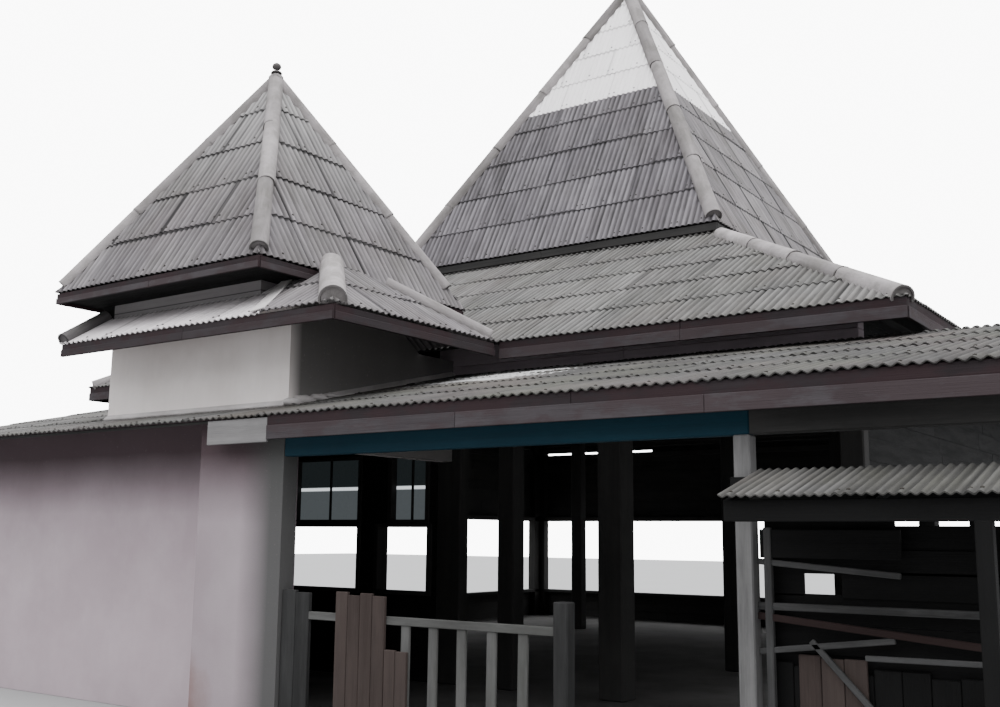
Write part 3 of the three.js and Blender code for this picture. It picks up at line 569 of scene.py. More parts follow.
@dataclass(frozen=True)
class GlassFinish:
    """Dusty glass that glows with its colours as painted light, with a bright band of sky at one
    height as a painted reflection.

    Args:
        upper: colour above the band.
        lower: colour below it.
        band: colour of the band, a painted reflection of the sky.
        height: the band's height in metres.
    """

    upper: Colour
    lower: Colour
    band: Colour
    height: float

    def dress(self, graph: Graph, shader: Node, effects: Effects) -> None:
        """Builds the finish on a shader.

        Args:
            graph: adds the nodes.
            shader: the material's shader.
            effects: the shared effects.
        """
        place = graph.place()
        z = graph.parts(place)[2]
        dust = graph.noise(place, 6.0, 6.0, 0.6)
        above = graph.spread(z, self.height - 0.01, self.height + 0.01)
        colour = graph.mix(above, self.lower, self.upper)
        away = graph.math("ABSOLUTE", graph.math("SUBTRACT", z, self.height))
        colour = graph.mix(graph.spread(away, 0.022, 0.012), colour, self.band)
        # The panes glow: painted light, with the sky's band as a painted reflection.
        graph.tree.links.new(colour, shader.inputs["Emission Color"])
        shader.inputs["Emission Strength"].default_value = 1.0
        graph.finish(shader, colour, graph.spread(dust, 0.3, 0.7, 0.15, 0.4), dust, 0.001)


class Finish(Enum):
    """Every finish: a slot name, and after the colon its own name."""

    SHEET = "roof_sheet:hall"
    LOW_SHEET = "roof_sheet:verandah"
    LEAN_SHEET = "roof_sheet:lean_to"
    STALL_SHEET = "roof_sheet:stall"
    TOWER_SHEET = "roof_sheet:tower"
    SLATE = "roof_sheet:slate"
    # A lighter copy of the slate sheets for the right and back slopes: painted light.
    BLEACHED = "roof_sheet:bleached"
    PALE = "pale_sheet:spire"
    APRON = "pale_sheet:apron"
    CAP = "ridge_cap:hips"
    OLD_CAP = "ridge_cap:verge"
    SCREW = "ridge_cap:screws"
    FASCIA = "fascia_board:upper"
    FACING = "fascia_board:facing"
    LIP = "fascia_board:lip"
    CREAM = "cream_plaster:walls"
    MORTAR = "cream_plaster:mortar"
    PINK = "pink_plaster:walls"
    PIER = "pink_plaster:pier"
    DARK = "dark_wood:timber"
    # A near-black copy of the dark wood for timber in deep shade: painted shade.
    SHADED_WOOD = "dark_wood:stall"
    HEADER = "dark_wood:header"
    DRUM = "dark_wood:drum"
    WALL = "dark_wood:wall"
    BLUE = "blue_beam:paint"
    POST = "grey_wood:posts"
    GREY = "grey_wood:eave"
    RAIL = "grey_wood:rails"
    DIM = "grey_wood:ends"
    STICK = "grey_wood:stall"
    BROWN = "brown_board:planks"
    RED = "brown_board:red"
    CONCRETE = "concrete:floor"
    GLASS = "window_glass:panes"

    @property
    def slot(self) -> str:
        """The slot name before the colon."""
        return self.value.split(":")[0]


PALETTE: dict[Finish, SheetFinish | CapFinish | MasonryFinish | TimberFinish | GlassFinish] = {
    Finish.SHEET: SheetFinish(grey(0.10, 0.025), grey(0.215, 0.02), furrow=0.8),
    Finish.LOW_SHEET: SheetFinish(
        grey(0.04, 0.03), grey(0.095, 0.02), furrow=0.75, stain=0.5, lime=(0.85, -3.85, 3.1)
    ),
    Finish.LEAN_SHEET: SheetFinish(grey(0.085, 0.03), grey(0.175, 0.02), furrow=0.6, stain=0.4),
    Finish.STALL_SHEET: SheetFinish(grey(0.04, 0.03), grey(0.115, 0.02), furrow=0.85, stain=0.4),
    Finish.TOWER_SHEET: SheetFinish(
        rgba(0.125, 0.116, 0.122), rgba(0.27, 0.252, 0.262), furrow=0.65, lap_shadow_and_joint=0.85,
        crown=(4.7, 6.3)
    ),
    Finish.SLATE: SheetFinish(
        rgba(0.118, 0.109, 0.12), rgba(0.265, 0.25, 0.27), furrow=0.85, stain=0.15, lap_shadow_and_joint=0.7
    ),
    # The slate sheets made lighter for the right and back slopes: painted light.
    Finish.BLEACHED: SheetFinish(
        rgba(0.17, 0.16, 0.166), rgba(0.35, 0.33, 0.34), furrow=0.7, lap_shadow_and_joint=0.85
    ),
    Finish.PALE: SheetFinish(
        rgba(0.86, 0.83, 0.835), rgba(0.98, 0.955, 0.96), furrow=0.06, soot=0.08,
        bleach=0.6, stain=0.05, lap_shadow_and_joint=0.3
    ),
    Finish.APRON: SheetFinish(
        rgba(0.52, 0.485, 0.495), rgba(0.92, 0.87, 0.885), furrow=0.2, soot=0.2,
        bleach=0.5, stain=0.1, lap_shadow_and_joint=0.4
    ),
    Finish.CAP: CapFinish(rgba(0.16, 0.149, 0.149), rgba(0.36, 0.334, 0.336)),
    Finish.OLD_CAP: CapFinish(rgba(0.07, 0.066, 0.067), rgba(0.17, 0.16, 0.163)),
    Finish.SCREW: CapFinish(grey(0.03, 0.15), grey(0.06, 0.15)),
    # The upper fascia board: dark paint, and a painted shadow under the sheets' edge.
    Finish.FASCIA: TimberFinish(
        rgba(0.024, 0.0185, 0.0205), rgba(0.013, 0.010, 0.011), rgba(0.044, 0.038, 0.041),
        paint=rgba(0.028, 0.016, 0.018), bare=0.35
    ),
    Finish.FACING: TimberFinish(
        rgba(0.033, 0.027, 0.030), rgba(0.018, 0.015, 0.016), rgba(0.056, 0.049, 0.052),
        paint=rgba(0.032, 0.021, 0.023), bare=0.35
    ),
    Finish.LIP: TimberFinish(
        rgba(0.050, 0.044, 0.048), rgba(0.027, 0.0225, 0.0245), rgba(0.082, 0.074, 0.079),
        paint=rgba(0.042, 0.030, 0.032), bare=0.35
    ),
    # The cream plaster's right wall, behind its front, is darkened as painted shade.
    Finish.CREAM: MasonryFinish(
        rgba(0.84, 0.785, 0.765), rgba(0.68, 0.625, 0.60), rgba(0.93, 0.88, 0.86), runs=0.25,
        eave=(3.0, 3.4, 0.3), soot_and_painted_shade=(-0.33, -5.43, 0.01, 0.82)
    ),
    Finish.MORTAR: MasonryFinish(
        rgba(0.46, 0.435, 0.43), rgba(0.25, 0.235, 0.23), rgba(0.72, 0.69, 0.685), runs=0.3
    ),
    Finish.PINK: MasonryFinish(
        rgba(0.40, 0.33, 0.362), rgba(0.33, 0.272, 0.297), rgba(0.47, 0.405, 0.438), runs=0.15,
        foot=0.85, eave=(1.78, 2.36, 0.92)
    ),
    # The pier is a darker copy of the pink plaster, darkening further towards its right: painted
    # shade.
    Finish.PIER: MasonryFinish(
        rgba(0.28, 0.236, 0.257), rgba(0.235, 0.196, 0.213), rgba(0.335, 0.29, 0.312), runs=0.15,
        foot=0.85, eave=(1.66, 2.24, 0.95), soot_and_painted_shade=(-0.18, -9.0, 0.34, 0.93)
    ),
    Finish.DARK: TimberFinish(grey(0.03, 0.03), grey(0.016), grey(0.055, 0.03)),
    # A far paler copy of the dark wood, for header boards in the eave's deep shadow: painted light.
    Finish.HEADER: TimberFinish(
        rgba(0.27, 0.225, 0.25), rgba(0.16, 0.132, 0.148), rgba(0.37, 0.33, 0.35)
    ),
    # Near-black dark wood for timber in deep shade: painted shade.
    Finish.SHADED_WOOD: TimberFinish(grey(0.0042), grey(0.002), grey(0.009)),
    # A paler copy of the dark wood, for the drum in the soffit's shade: painted light.
    Finish.DRUM: TimberFinish(
        rgba(0.2, 0.182, 0.19), grey(0.12, 0.02), grey(0.27, 0.02), bare=0.3, planks=0.27
    ),
    Finish.WALL: TimberFinish(grey(0.010), grey(0.005), grey(0.02), bare=0.3, planks=0.21),
    Finish.BLUE: TimberFinish(
        rgba(0.0045, 0.025, 0.040), rgba(0.003, 0.015, 0.025), rgba(0.01, 0.04, 0.055), bare=0.3
    ),
    Finish.POST: TimberFinish(
        rgba(0.122, 0.119, 0.12), grey(0.06, 0.01), grey(0.205, 0.01), bare=0.6
    ),
    Finish.GREY: TimberFinish(
        rgba(0.17, 0.162, 0.164), grey(0.10, 0.01), grey(0.24, 0.01), bare=0.5
    ),
    # RAIL, DIM and STICK are darker copies of the grey wood, for timber that lies in shade: painted
    # shade.
    Finish.RAIL: TimberFinish(
        rgba(0.066, 0.0675, 0.0625), grey(0.032, 0.02), grey(0.12, 0.01), bare=0.6
    ),
    Finish.DIM: TimberFinish(grey(0.02, 0.0), grey(0.009, 0.0), grey(0.045, 0.0), bare=0.6),
    Finish.STICK: TimberFinish(grey(0.036, 0.01), grey(0.015, 0.0), grey(0.085, 0.0), bare=0.7),
    Finish.BROWN: TimberFinish(
        rgba(0.042, 0.031, 0.028), rgba(0.021, 0.0155, 0.014), rgba(0.07, 0.056, 0.051)
    ),
    Finish.RED: TimberFinish(
        rgba(0.02, 0.012, 0.011), rgba(0.01, 0.006, 0.006), rgba(0.033, 0.022, 0.021)
    ),
    # Very dark concrete: painted shade of the hall's inside and under the verandah.
    Finish.CONCRETE: MasonryFinish(grey(0.07, 0.03), grey(0.035, 0.03), grey(0.11, 0.02), runs=0.0),
    Finish.GLASS: GlassFinish(
        rgba(0.012, 0.015, 0.016), rgba(0.07, 0.08, 0.085), rgba(0.90, 0.96, 1.0), height=2.1
    ),
}


class Workshop:
    """Makes the pieces, and holds the materials and random draws that they share."""

    def __init__(self, seed: int) -> None:
        """Starts with no materials.

        Args:
            seed: the seed of every random draw.
        """
        self.rng = random.Random(seed)
        self.effects = Effects()
        self.materials: dict[Finish, bpy.types.Material] = {}

    def material(self, finish: Finish) -> bpy.types.Material:
        """Returns a finish's material, which is built when it is first asked for.

        Args:
            finish: the finish.

        Returns:
            The material.
        """
        if finish not in self.materials:
            made = bpy.data.materials.new(finish.value.replace(":", "_"))
            made.use_nodes = True
            shader = made.node_tree.nodes["Principled BSDF"]
            PALETTE[finish].dress(Graph(made.node_tree), shader, self.effects)
            self.materials[finish] = made
        return self.materials[finish]

    def piece(
        self,
        name: str,
        bm: BMesh,
        finish: Finish,
        replaces: tuple[str, ...] = (),
        crease: float = 0.6,
    ) -> None:
        """Turns a bmesh into a piece of the building.

        Args:
            name: the piece's name.
            bm: its shape, which is freed.
            finish: its finish.
            replaces: the frame's nodes that it stands for.
            crease: angle in radians above which an edge stays sharp.
        """
        for face in bm.faces:
            face.smooth = True
        mesh = bpy.data.meshes.new(name)
        bm.to_mesh(mesh)
        bm.free()
        mesh.set_sharp_from_angle(angle=crease)
        mesh.materials.append(self.material(finish))
        made = bpy.data.objects.new(name, mesh)
        bpy.context.scene.collection.objects.link(made)
        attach(made, "root")
        if replaces:
            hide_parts(*replaces)
        finish.slot
        log.info("%s: %d faces, %s", name, len(mesh.polygons), finish.value)

    def dress(self, finish: Finish, *nodes: str) -> None:
        """Gives solids of the frame a finish.

        Args:
            finish: the finish.
            nodes: the nodes that keep their shape.
        """
        for node in nodes:
            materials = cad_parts[node].data.materials
            materials.clear()
            materials.append(self.material(finish))
            log.info("%s: kept, %s", node, finish.value)


def with_maps() -> BMesh:
    """An empty bmesh with the maps of the sheets and caps.

    Returns:
        The bmesh.
    """
    bm = bmesh.new()
    for label in MAPS:
        bm.loops.layers.uv.new(label)
    return bm


def fresh(bm: BMesh, known: set[bmesh.types.BMFace]) -> tuple[list, list, list]:
    """The faces that aren't known yet, with their edges and vertices.

    Args:
        bm: the bmesh.
        known: faces that were there before.

    Returns:
        Lists of the new faces, of their edges and of their vertices.
    """
    faces = [face for face in bm.faces if face not in known]
    edges = list(dict.fromkeys(edge for face in faces for edge in face.edges))
    verts = list(dict.fromkeys(vert for face in faces for vert in face.verts))
    return faces, edges, verts


def trim(
    bm: BMesh, known: set[bmesh.types.BMFace], spot: Spot, normal: Spot, outer: bool = True
) -> None:
    """Cuts the new faces with a plane and drops what lies on one side of it.

    Args:
        bm: the bmesh.
        known: faces that were there before and stay whole.
        spot: a point of the plane.
        normal: the plane's normal.
        outer: drops the side that the normal points to, and otherwise the other.
    """
    faces, edges, verts = fresh(bm, known)
    geom = verts + edges + faces
    sides = {"clear_outer": outer, "clear_inner": not outer}
    bmesh.ops.bisect_plane(bm, geom=geom, plane_co=spot, plane_no=normal, **sides)


class Side(Enum):
    """The sides of the building, as the plan direction that each faces."""

    FRONT = (0.0, -1.0)
    RIGHT = (1.0, 0.0)
    BACK = (0.0, 1.0)
    LEFT = (-1.0, 0.0)

    @property
    def facing(self) -> Vector:
        """The direction that it faces."""
        return Vector((*self.value, 0.0))

    @property
    def along(self) -> Vector:
        """The direction along the eave, to the right for someone who looks at it."""
        return UP.cross(self.facing)


@dataclass(frozen=True)
class Slope:
    """A plane of a roof with a convex outline.

    Args:
        side: where it faces.
        eave: how far its eave lies from the origin towards that side.
        eave_z: height of the eave.
        pitch: tangent of the pitch.
        plan: corners of its outline in plan, counter-clockwise from above.
    """

    side: Side
    eave: float
    eave_z: float
    pitch: float
    plan: tuple[Pair, ...]

    SHORTEST = 0.001

    def matrix(self) -> Matrix:
        """The local axes along the eave, uphill and outward, from the eave.

        Returns:
            The matrix from local axes to the building's.
        """
        along = self.side.along
        uphill = (UP * self.pitch - self.side.facing).normalized()
        made = Matrix((along, uphill, along.cross(uphill))).transposed().to_4x4()
        made.translation = self.side.facing * self.eave + UP * self.eave_z
        return made

    def outline(self) -> list[Vector]:
        """The corners in local axes, without repeated ones.

        Returns:
            The corners.
        """
        corners = []
        for x, y in self.plan:
            spot = Vector((x, y, 0.0))
            inset = self.eave - spot.dot(self.side.facing)
            local = Vector((spot.dot(self.side.along), inset * math.hypot(1.0, self.pitch), 0.0))
            if not corners or (local - corners[-1]).length > self.SHORTEST:
                corners.append(local)
        return corners

    def edges(self) -> list[tuple[Vector, Vector]]:
        """A corner and the outward normal of each edge of the outline.

        Returns:
            Pairs of a corner and a normal.
        """
        corners = self.outline()
        pairs = zip(corners, corners[1:] + corners[:1])
        long = [(a, b) for a, b in pairs if (b - a).length > self.SHORTEST]
        return [(a, Vector((b.y - a.y, a.x - b.x, 0.0)).normalized()) for a, b in long]

    def holds(self, spot: Vector, margin: float) -> bool:
        """Tells whether a local point lies inside the outline by a margin."""
        return all((spot - corner).dot(normal) < -margin for corner, normal in self.edges())

    def reach(self, v: float) -> Pair:
        """How far the outline reaches to the left and right at a height up the slope.

        Args:
            v: distance up the slope.

        Returns:
            The left and right end.
        """
        corners = self.outline()
        found = []
        for a, b in zip(corners, corners[1:] + corners[:1]):
            if min(a.y, b.y) <= v <= max(a.y, b.y) and abs(b.y - a.y) > 1e-6:
                found.append(a.x + (b.x - a.x) * (v - a.y) / (b.y - a.y))
        return (min(found), max(found)) if found else (0.0, 0.0)


@dataclass(frozen=True)
class SquareRoof:
    """Four slopes of one pitch round a square.

    Args:
        x: centre.
        y: centre.
        half: half of the eave's length.
        eave_z: height of the sheets' tops at the eave.
        pitch: tangent of the pitch.
    """

    x: float
    y: float
    half: float
    eave_z: float
    pitch: float

    def hip(self, sx: int, sy: int, inset: float) -> Vector:
        """A point on a hip, inset from the corner along both sides."""
        reach = self.half - inset
        return Vector((self.x + sx * reach, self.y + sy * reach, self.eave_z + self.pitch * inset))

    def slopes(self, low: float, high: float) -> dict[Side, Slope]:
        """The four slopes between two insets from the eave.

        Args:
            low: inset of the lower edge.
            high: inset of the upper edge.

        Returns:
            Each side's slope.
        """
        made = {}
        centre = Vector((self.x, self.y, 0.0))
        for side in Side:
            plan = []
            for inset, sign in ((low, -1), (low, 1), (high, 1), (high, -1)):
                corner = centre + (side.facing + side.along * sign) * (self.half - inset)
                plan.append((corner.x, corner.y))
            eave = side.facing.dot(centre) + self.half - low
            made[side] = Slope(side, eave, self.eave_z + self.pitch * low, self.pitch, tuple(plan))
        return made


@dataclass(frozen=True)
class SheetStyle:
    """How corrugated sheets are made and laid.

    Args:
        exposure: height of a course.
        slip: how far a sheet's lower edge strays.
        lift: how far its lower corners stand up.
        lap: how far a course reaches under the next.
        width: width that a sheet covers.
        pitch: length of a wave.
        amplitude: half of the waves' height.
        thickness: thickness of a sheet.
    """

    exposure: float
    slip: float = 0.010
    lift: float = 0.005
    lap: float = 0.10
    width: float = 10 * WAVE_PITCH
    pitch: float = WAVE_PITCH
    amplitude: float = 0.0095
    thickness: float = 0.007


class SheetLayer:
    """Lays lapped corrugated sheets over the slopes of one roof."""

    WAVE_STEPS = 8
    SIDE_LIFT = 0.004
    SCREW_RISE = 0.06
    SCREW_SHARES = (0.08, 0.5, 0.92)
    SCREW_RADIUS = 0.012
    SCREW_SHAPE = (1.0, 1.0, 0.6, 1.0)
    EDGE_GAP = 0.05
    BATTEN = (0.040, 0.022)
    BATTEN_DROP = 0.042
    BATTEN_GAP = 0.06
    SHORTEST_BATTEN = 0.3

    def __init__(self, shop: Workshop, style: SheetStyle) -> None:
        """Starts with no screws.

        Args:
            shop: makes the pieces.
            style: how the sheets are laid.
        """
        self.shop = shop
        self.style = style
        self.screws = with_maps()

    def cover(
        self, name: str, slopes: list[Slope], finish: Finish, replaces: tuple[str, ...] = ()
    ) -> None:
        """Covers slopes with sheets as one piece.

        Args:
            name: the piece's name.
            slopes: the slopes.
            finish: the sheets' finish.
            replaces: the frame's nodes that the sheets stand for.
        """
        bm = with_maps()
        for slope in slopes:
            self._lay(bm, slope)
        self.shop.piece(name, bm, finish, replaces, crease=1.0)

    def fix(self, name: str) -> None:
        """Makes one piece of all the screws of the sheets laid so far."""
        self.shop.piece(name, self.screws, Finish.SCREW)
        self.screws = with_maps()

    def battens(self, name: str, slopes: list[Slope]) -> None:
        """Puts a batten under each lap of the sheets.

        Args:
            name: the piece's name.
            slopes: the slopes that the battens carry.
        """
        lumber = Lumber(self.shop, name, Finish.DARK)
        for slope in slopes:
            turn = slope.matrix()
            top = max(corner.y for corner in slope.outline())
            v = self.BATTEN_GAP
            while v < top - 0.03:
                left, right = slope.reach(v)
                if right - left > self.SHORTEST_BATTEN:
                    start = turn @ Vector((left + self.BATTEN_GAP, v, -self.BATTEN_DROP))
                    end = turn @ Vector((right - self.BATTEN_GAP, v, -self.BATTEN_DROP))
                    lumber.board(start, end, turn.col[1].to_3d(), self.BATTEN, 0.002)
                v += self.style.exposure
        lumber.done()

    def _lay(self, bm: BMesh, slope: Slope) -> None:
        """Lays the courses of one slope and trims them to its outline.

        Args:
            bm: gets the sheets.
            slope: the slope.
        """
        known = set(bm.faces)
        corners = slope.outline()
        left, right = min(corner.x for corner in corners), max(corner.x for corner in corners)
        top = max(corner.y for corner in corners)
        base = 0.0
        while base < top - 0.02:
            start = left - self.shop.rng.uniform(0.0, 0.5) * self.style.width
            lift = 0.0
            while start < right:
                lift = self._sheet(bm, slope, (start, base), lift)
                start += self.style.width
            base += self.style.exposure
        for corner, normal in slope.edges():
            trim(bm, known, corner, normal)
        bmesh.ops.solidify(bm, geom=fresh(bm, known)[0], thickness=self.style.thickness)
        bmesh.ops.transform(bm, matrix=slope.matrix(), verts=fresh(bm, known)[2])

    def _sheet(self, bm: BMesh, slope: Slope, corner: Pair, lift: float) -> float:
        """Adds one sheet in local axes.

        Args:
            bm: the slope's bmesh.
            slope: the slope.
            corner: the sheet's lower left corner.
            lift: how far that corner stands up.

        Returns:
            How far its lower right corner stands up.
        """
        style, rng = self.style, self.shop.rng
        start, base = corner
        flow, sheet, lap = bm.loops.layers.uv.values()
        width, height = style.width + style.pitch, style.exposure + style.lap
        columns = round(width / style.pitch) * self.WAVE_STEPS
        drawn = WAVE_PITCH / style.pitch
        tone = (rng.random(), rng.random())
        slip, tilt = rng.uniform(-style.slip, style.slip), rng.uniform(-style.slip, style.slip)
        lifts = (lift, rng.uniform(0.0, style.lift))
        if base == 0.0:
            slip = tilt = 0.0
        verts = bmesh.ops.create_grid(bm, x_segments=columns, y_segments=1, size=0.5)["verts"]
        for face in dict.fromkeys(face for vert in verts for face in vert.link_faces):
            for loop in face.loops:
                share, rise = loop.vert.co.x + 0.5, loop.vert.co.y + 0.5
                loop[flow].uv = ((start + width * share) * drawn, base + height * rise)
                loop[sheet].uv = tone
                loop[lap].uv = (share * width / style.width, rise * height / style.exposure)
        for vert in verts:
            share, rise = vert.co.x + 0.5, vert.co.y + 0.5
            vert.co.x = start + width * share
            vert.co.y = base + height * rise + (slip + tilt * (share - 0.5)) * (1.0 - rise)
            vert.co.z = self._level(vert.co.x, share, rise, lifts)
        for share in self.SCREW_SHARES:
            u = round((start + width * share) / style.pitch) * style.pitch
            level = self._level(u, share, self.SCREW_RISE, lifts)
            spot = Vector((u, base + self.SCREW_RISE, level))
            if slope.holds(spot, self.EDGE_GAP):
                flat = Matrix.Translation(spot) @ Matrix.Diagonal(self.SCREW_SHAPE)
                place = slope.matrix() @ flat
                bmesh.ops.create_icosphere(
                    self.screws, subdivisions=1, radius=self.SCREW_RADIUS, matrix=place
                )
        return lifts[1]

    def _level(self, u: float, share: float, rise: float, lifts: Pair) -> float:
        """Height of a sheet's top over the slope's plane.

        Args:
            u: place along the eave.
            share: place across the sheet, from 0 to 1.
            rise: place up the sheet, from 0 to 1.
            lifts: how far its lower corners stand up.

        Returns:
            The height.
        """
        wave = self.style.amplitude * (math.cos(math.tau * u / self.style.pitch) - 1.0)
        lower = self.style.thickness + lifts[0] * (1.0 - share) + lifts[1] * share
        return wave + (1.0 - rise) * lower + (1.0 - share) * self.SIDE_LIFT - self.style.thickness


@dataclass(frozen=True)
class CapStyle:
    """Half-round ridge caps.

    Args:
        radius: outer radius.
        length: length of one cap.
        sink: how deep its middle line lies under the hip.
        wall: thickness.
        finish: the caps' finish.
    """

    radius: float
    length: float
    sink: float = 0.038
    wall: float = 0.016
    finish: Finish = Finish.CAP


class CapLayer:
    """Lays lapped half-round caps along hips and verges."""

    SEGMENTS = 24
    OPEN_SHARE = 0.375
    STATIONS = ((0.05, 0.99), (0.5, 0.98), (1.0, 0.97))
    OVERLAP = 0.05
    WEAR = (0.96, 1.005)
    SWAY = (0.005, 0.003)
    PLUG_DEPTH = 0.05
    PLUG_MIDDLE = 0.04

    def __init__(self, shop: Workshop) -> None:
        """Takes the workshop that makes the pieces."""
        self.shop = shop

    def lay(
        self, name: str, lines: list[tuple[Vector, Vector]], style: CapStyle, *replaces: str
    ) -> None:
        """Lays caps along lines as one piece.

        Args:
            name: the piece's name.
            lines: (low end, high end) of each line.
            style: the caps' sizes.
            replaces: the frame's nodes that the caps stand for.
        """
        bm = with_maps()
        for low, high in lines:
            axis = (high - low).normalized()
            across = UP.cross(axis).normalized()
            turn = Matrix((across, axis.cross(across), axis)).transposed().to_4x4()
            turn.translation = low
            total = (high - low).length
            count = max(1, round(total / style.length))
            for index in range(count):
                start = index * total / count
                end = min(start + total / count + self.OVERLAP, total)
                self._cap(bm, turn, start, end, style)
            self._plug(bm, turn, style)
        self.shop.piece(name, bm, style.finish, replaces, crease=0.8)

    def _cap(self, bm: BMesh, turn: Matrix, start: float, end: float, style: CapStyle) -> None:
        """Adds one cap, drawn round the local Z axis.

        Args:
            bm: gets the cap.
            turn: axes and low end of the caps' line.
            start: where on the line it starts.
            end: where it ends.
            style: the caps' sizes.
        """
        rng = self.shop.rng
        known = set(bm.faces)
        made = bmesh.ops.create_circle(
            bm, cap_ends=False, segments=self.SEGMENTS, radius=style.radius
        )
        ring = made["verts"]
        bmesh.ops.translate(bm, verts=ring, vec=(0.0, 0.0, start))
        edges = list(dict.fromkeys(edge for vert in ring for edge in vert.link_edges))
        done, size = 0.0, 1.0
        for station, swell in self.STATIONS:
            made = bmesh.ops.extrude_edge_only(bm, edges=edges)["geom"]
            ring = [item for item in made if isinstance(item, bmesh.types.BMVert)]
            edges = [item for item in made if isinstance(item, bmesh.types.BMEdge)]
            bmesh.ops.translate(bm, verts=ring, vec=(0.0, 0.0, (end - start) * (station - done)))
            bmesh.ops.scale(bm, verts=ring, vec=(swell / size, swell / size, 1.0))
            done, size = station, swell
            for vert in ring:
                vert.co.xy = vert.co.xy * rng.uniform(*self.WEAR)
        self._open(bm, known, style)
        faces = fresh(bm, known)[0]
        bmesh.ops.recalc_face_normals(bm, faces=faces)
        self._map(bm, faces, (start, end), style.radius)
        bmesh.ops.solidify(bm, geom=faces, thickness=style.wall)
        sway, rise = (rng.uniform(-limit, limit) for limit in self.SWAY)
        sag = Matrix.Translation((sway, rise - style.sink, 0.0))
        bmesh.ops.transform(bm, matrix=turn @ sag, verts=fresh(bm, known)[2])

    def _open(self, bm: BMesh, known: set[bmesh.types.BMFace], style: CapStyle) -> None:
        """Cuts the lower part off a cap's round."""
        spot = (0.0, -self.OPEN_SHARE * style.radius, 0.0)
        trim(bm, known, spot, (0.0, 1.0, 0.0), outer=False)

    def _plug(self, bm: BMesh, turn: Matrix, style: CapStyle) -> None:
        """Fills the lowest cap's open end with mortar, a little behind its edge.

        Args:
            bm: gets the mortar.
            turn: axes and low end of the caps' line.
            style: the caps' sizes.
        """
        known = set(bm.faces)
        radius = style.radius - style.wall / 2
        bmesh.ops.create_cone(
            bm,
            cap_ends=True,
            segments=self.SEGMENTS,
            radius1=radius * 0.9,
            radius2=radius,
            depth=self.PLUG_DEPTH,
            matrix=Matrix.Translation((0.0, 0.0, self.PLUG_MIDDLE)),
        )
        self._open(bm, known, style)
        edges = fresh(bm, known)[1]
        bmesh.ops.holes_fill(bm, edges=[edge for edge in edges if edge.is_boundary], sides=0)
        faces, _, verts = fresh(bm, known)
        self._map(bm, faces, (0.0, 1.0), style.radius)
        sag = Matrix.Translation((0.0, -style.sink, 0.0))
        bmesh.ops.transform(bm, matrix=turn @ sag, verts=verts)

    def _map(self, bm: BMesh, faces: list, reach: Pair, radius: float) -> None:
        """Sets the maps of one cap.

        Args:
            bm: the caps' bmesh.
            faces: the cap's faces.
            reach: its ends on the line.
            radius: its radius.
        """
        flow, sheet, lap = bm.loops.layers.uv.values()
        tone = (self.shop.rng.random(), self.shop.rng.random())
        for face in faces:
            for loop in face.loops:
                spot = loop.vert.co
                angle = math.atan2(spot.x, spot.y)
                loop[flow].uv = (angle * radius, spot.z)
                loop[sheet].uv = tone
                loop[lap].uv = (angle / math.pi + 0.5, (spot.z - reach[0]) / (reach[1] - reach[0]))


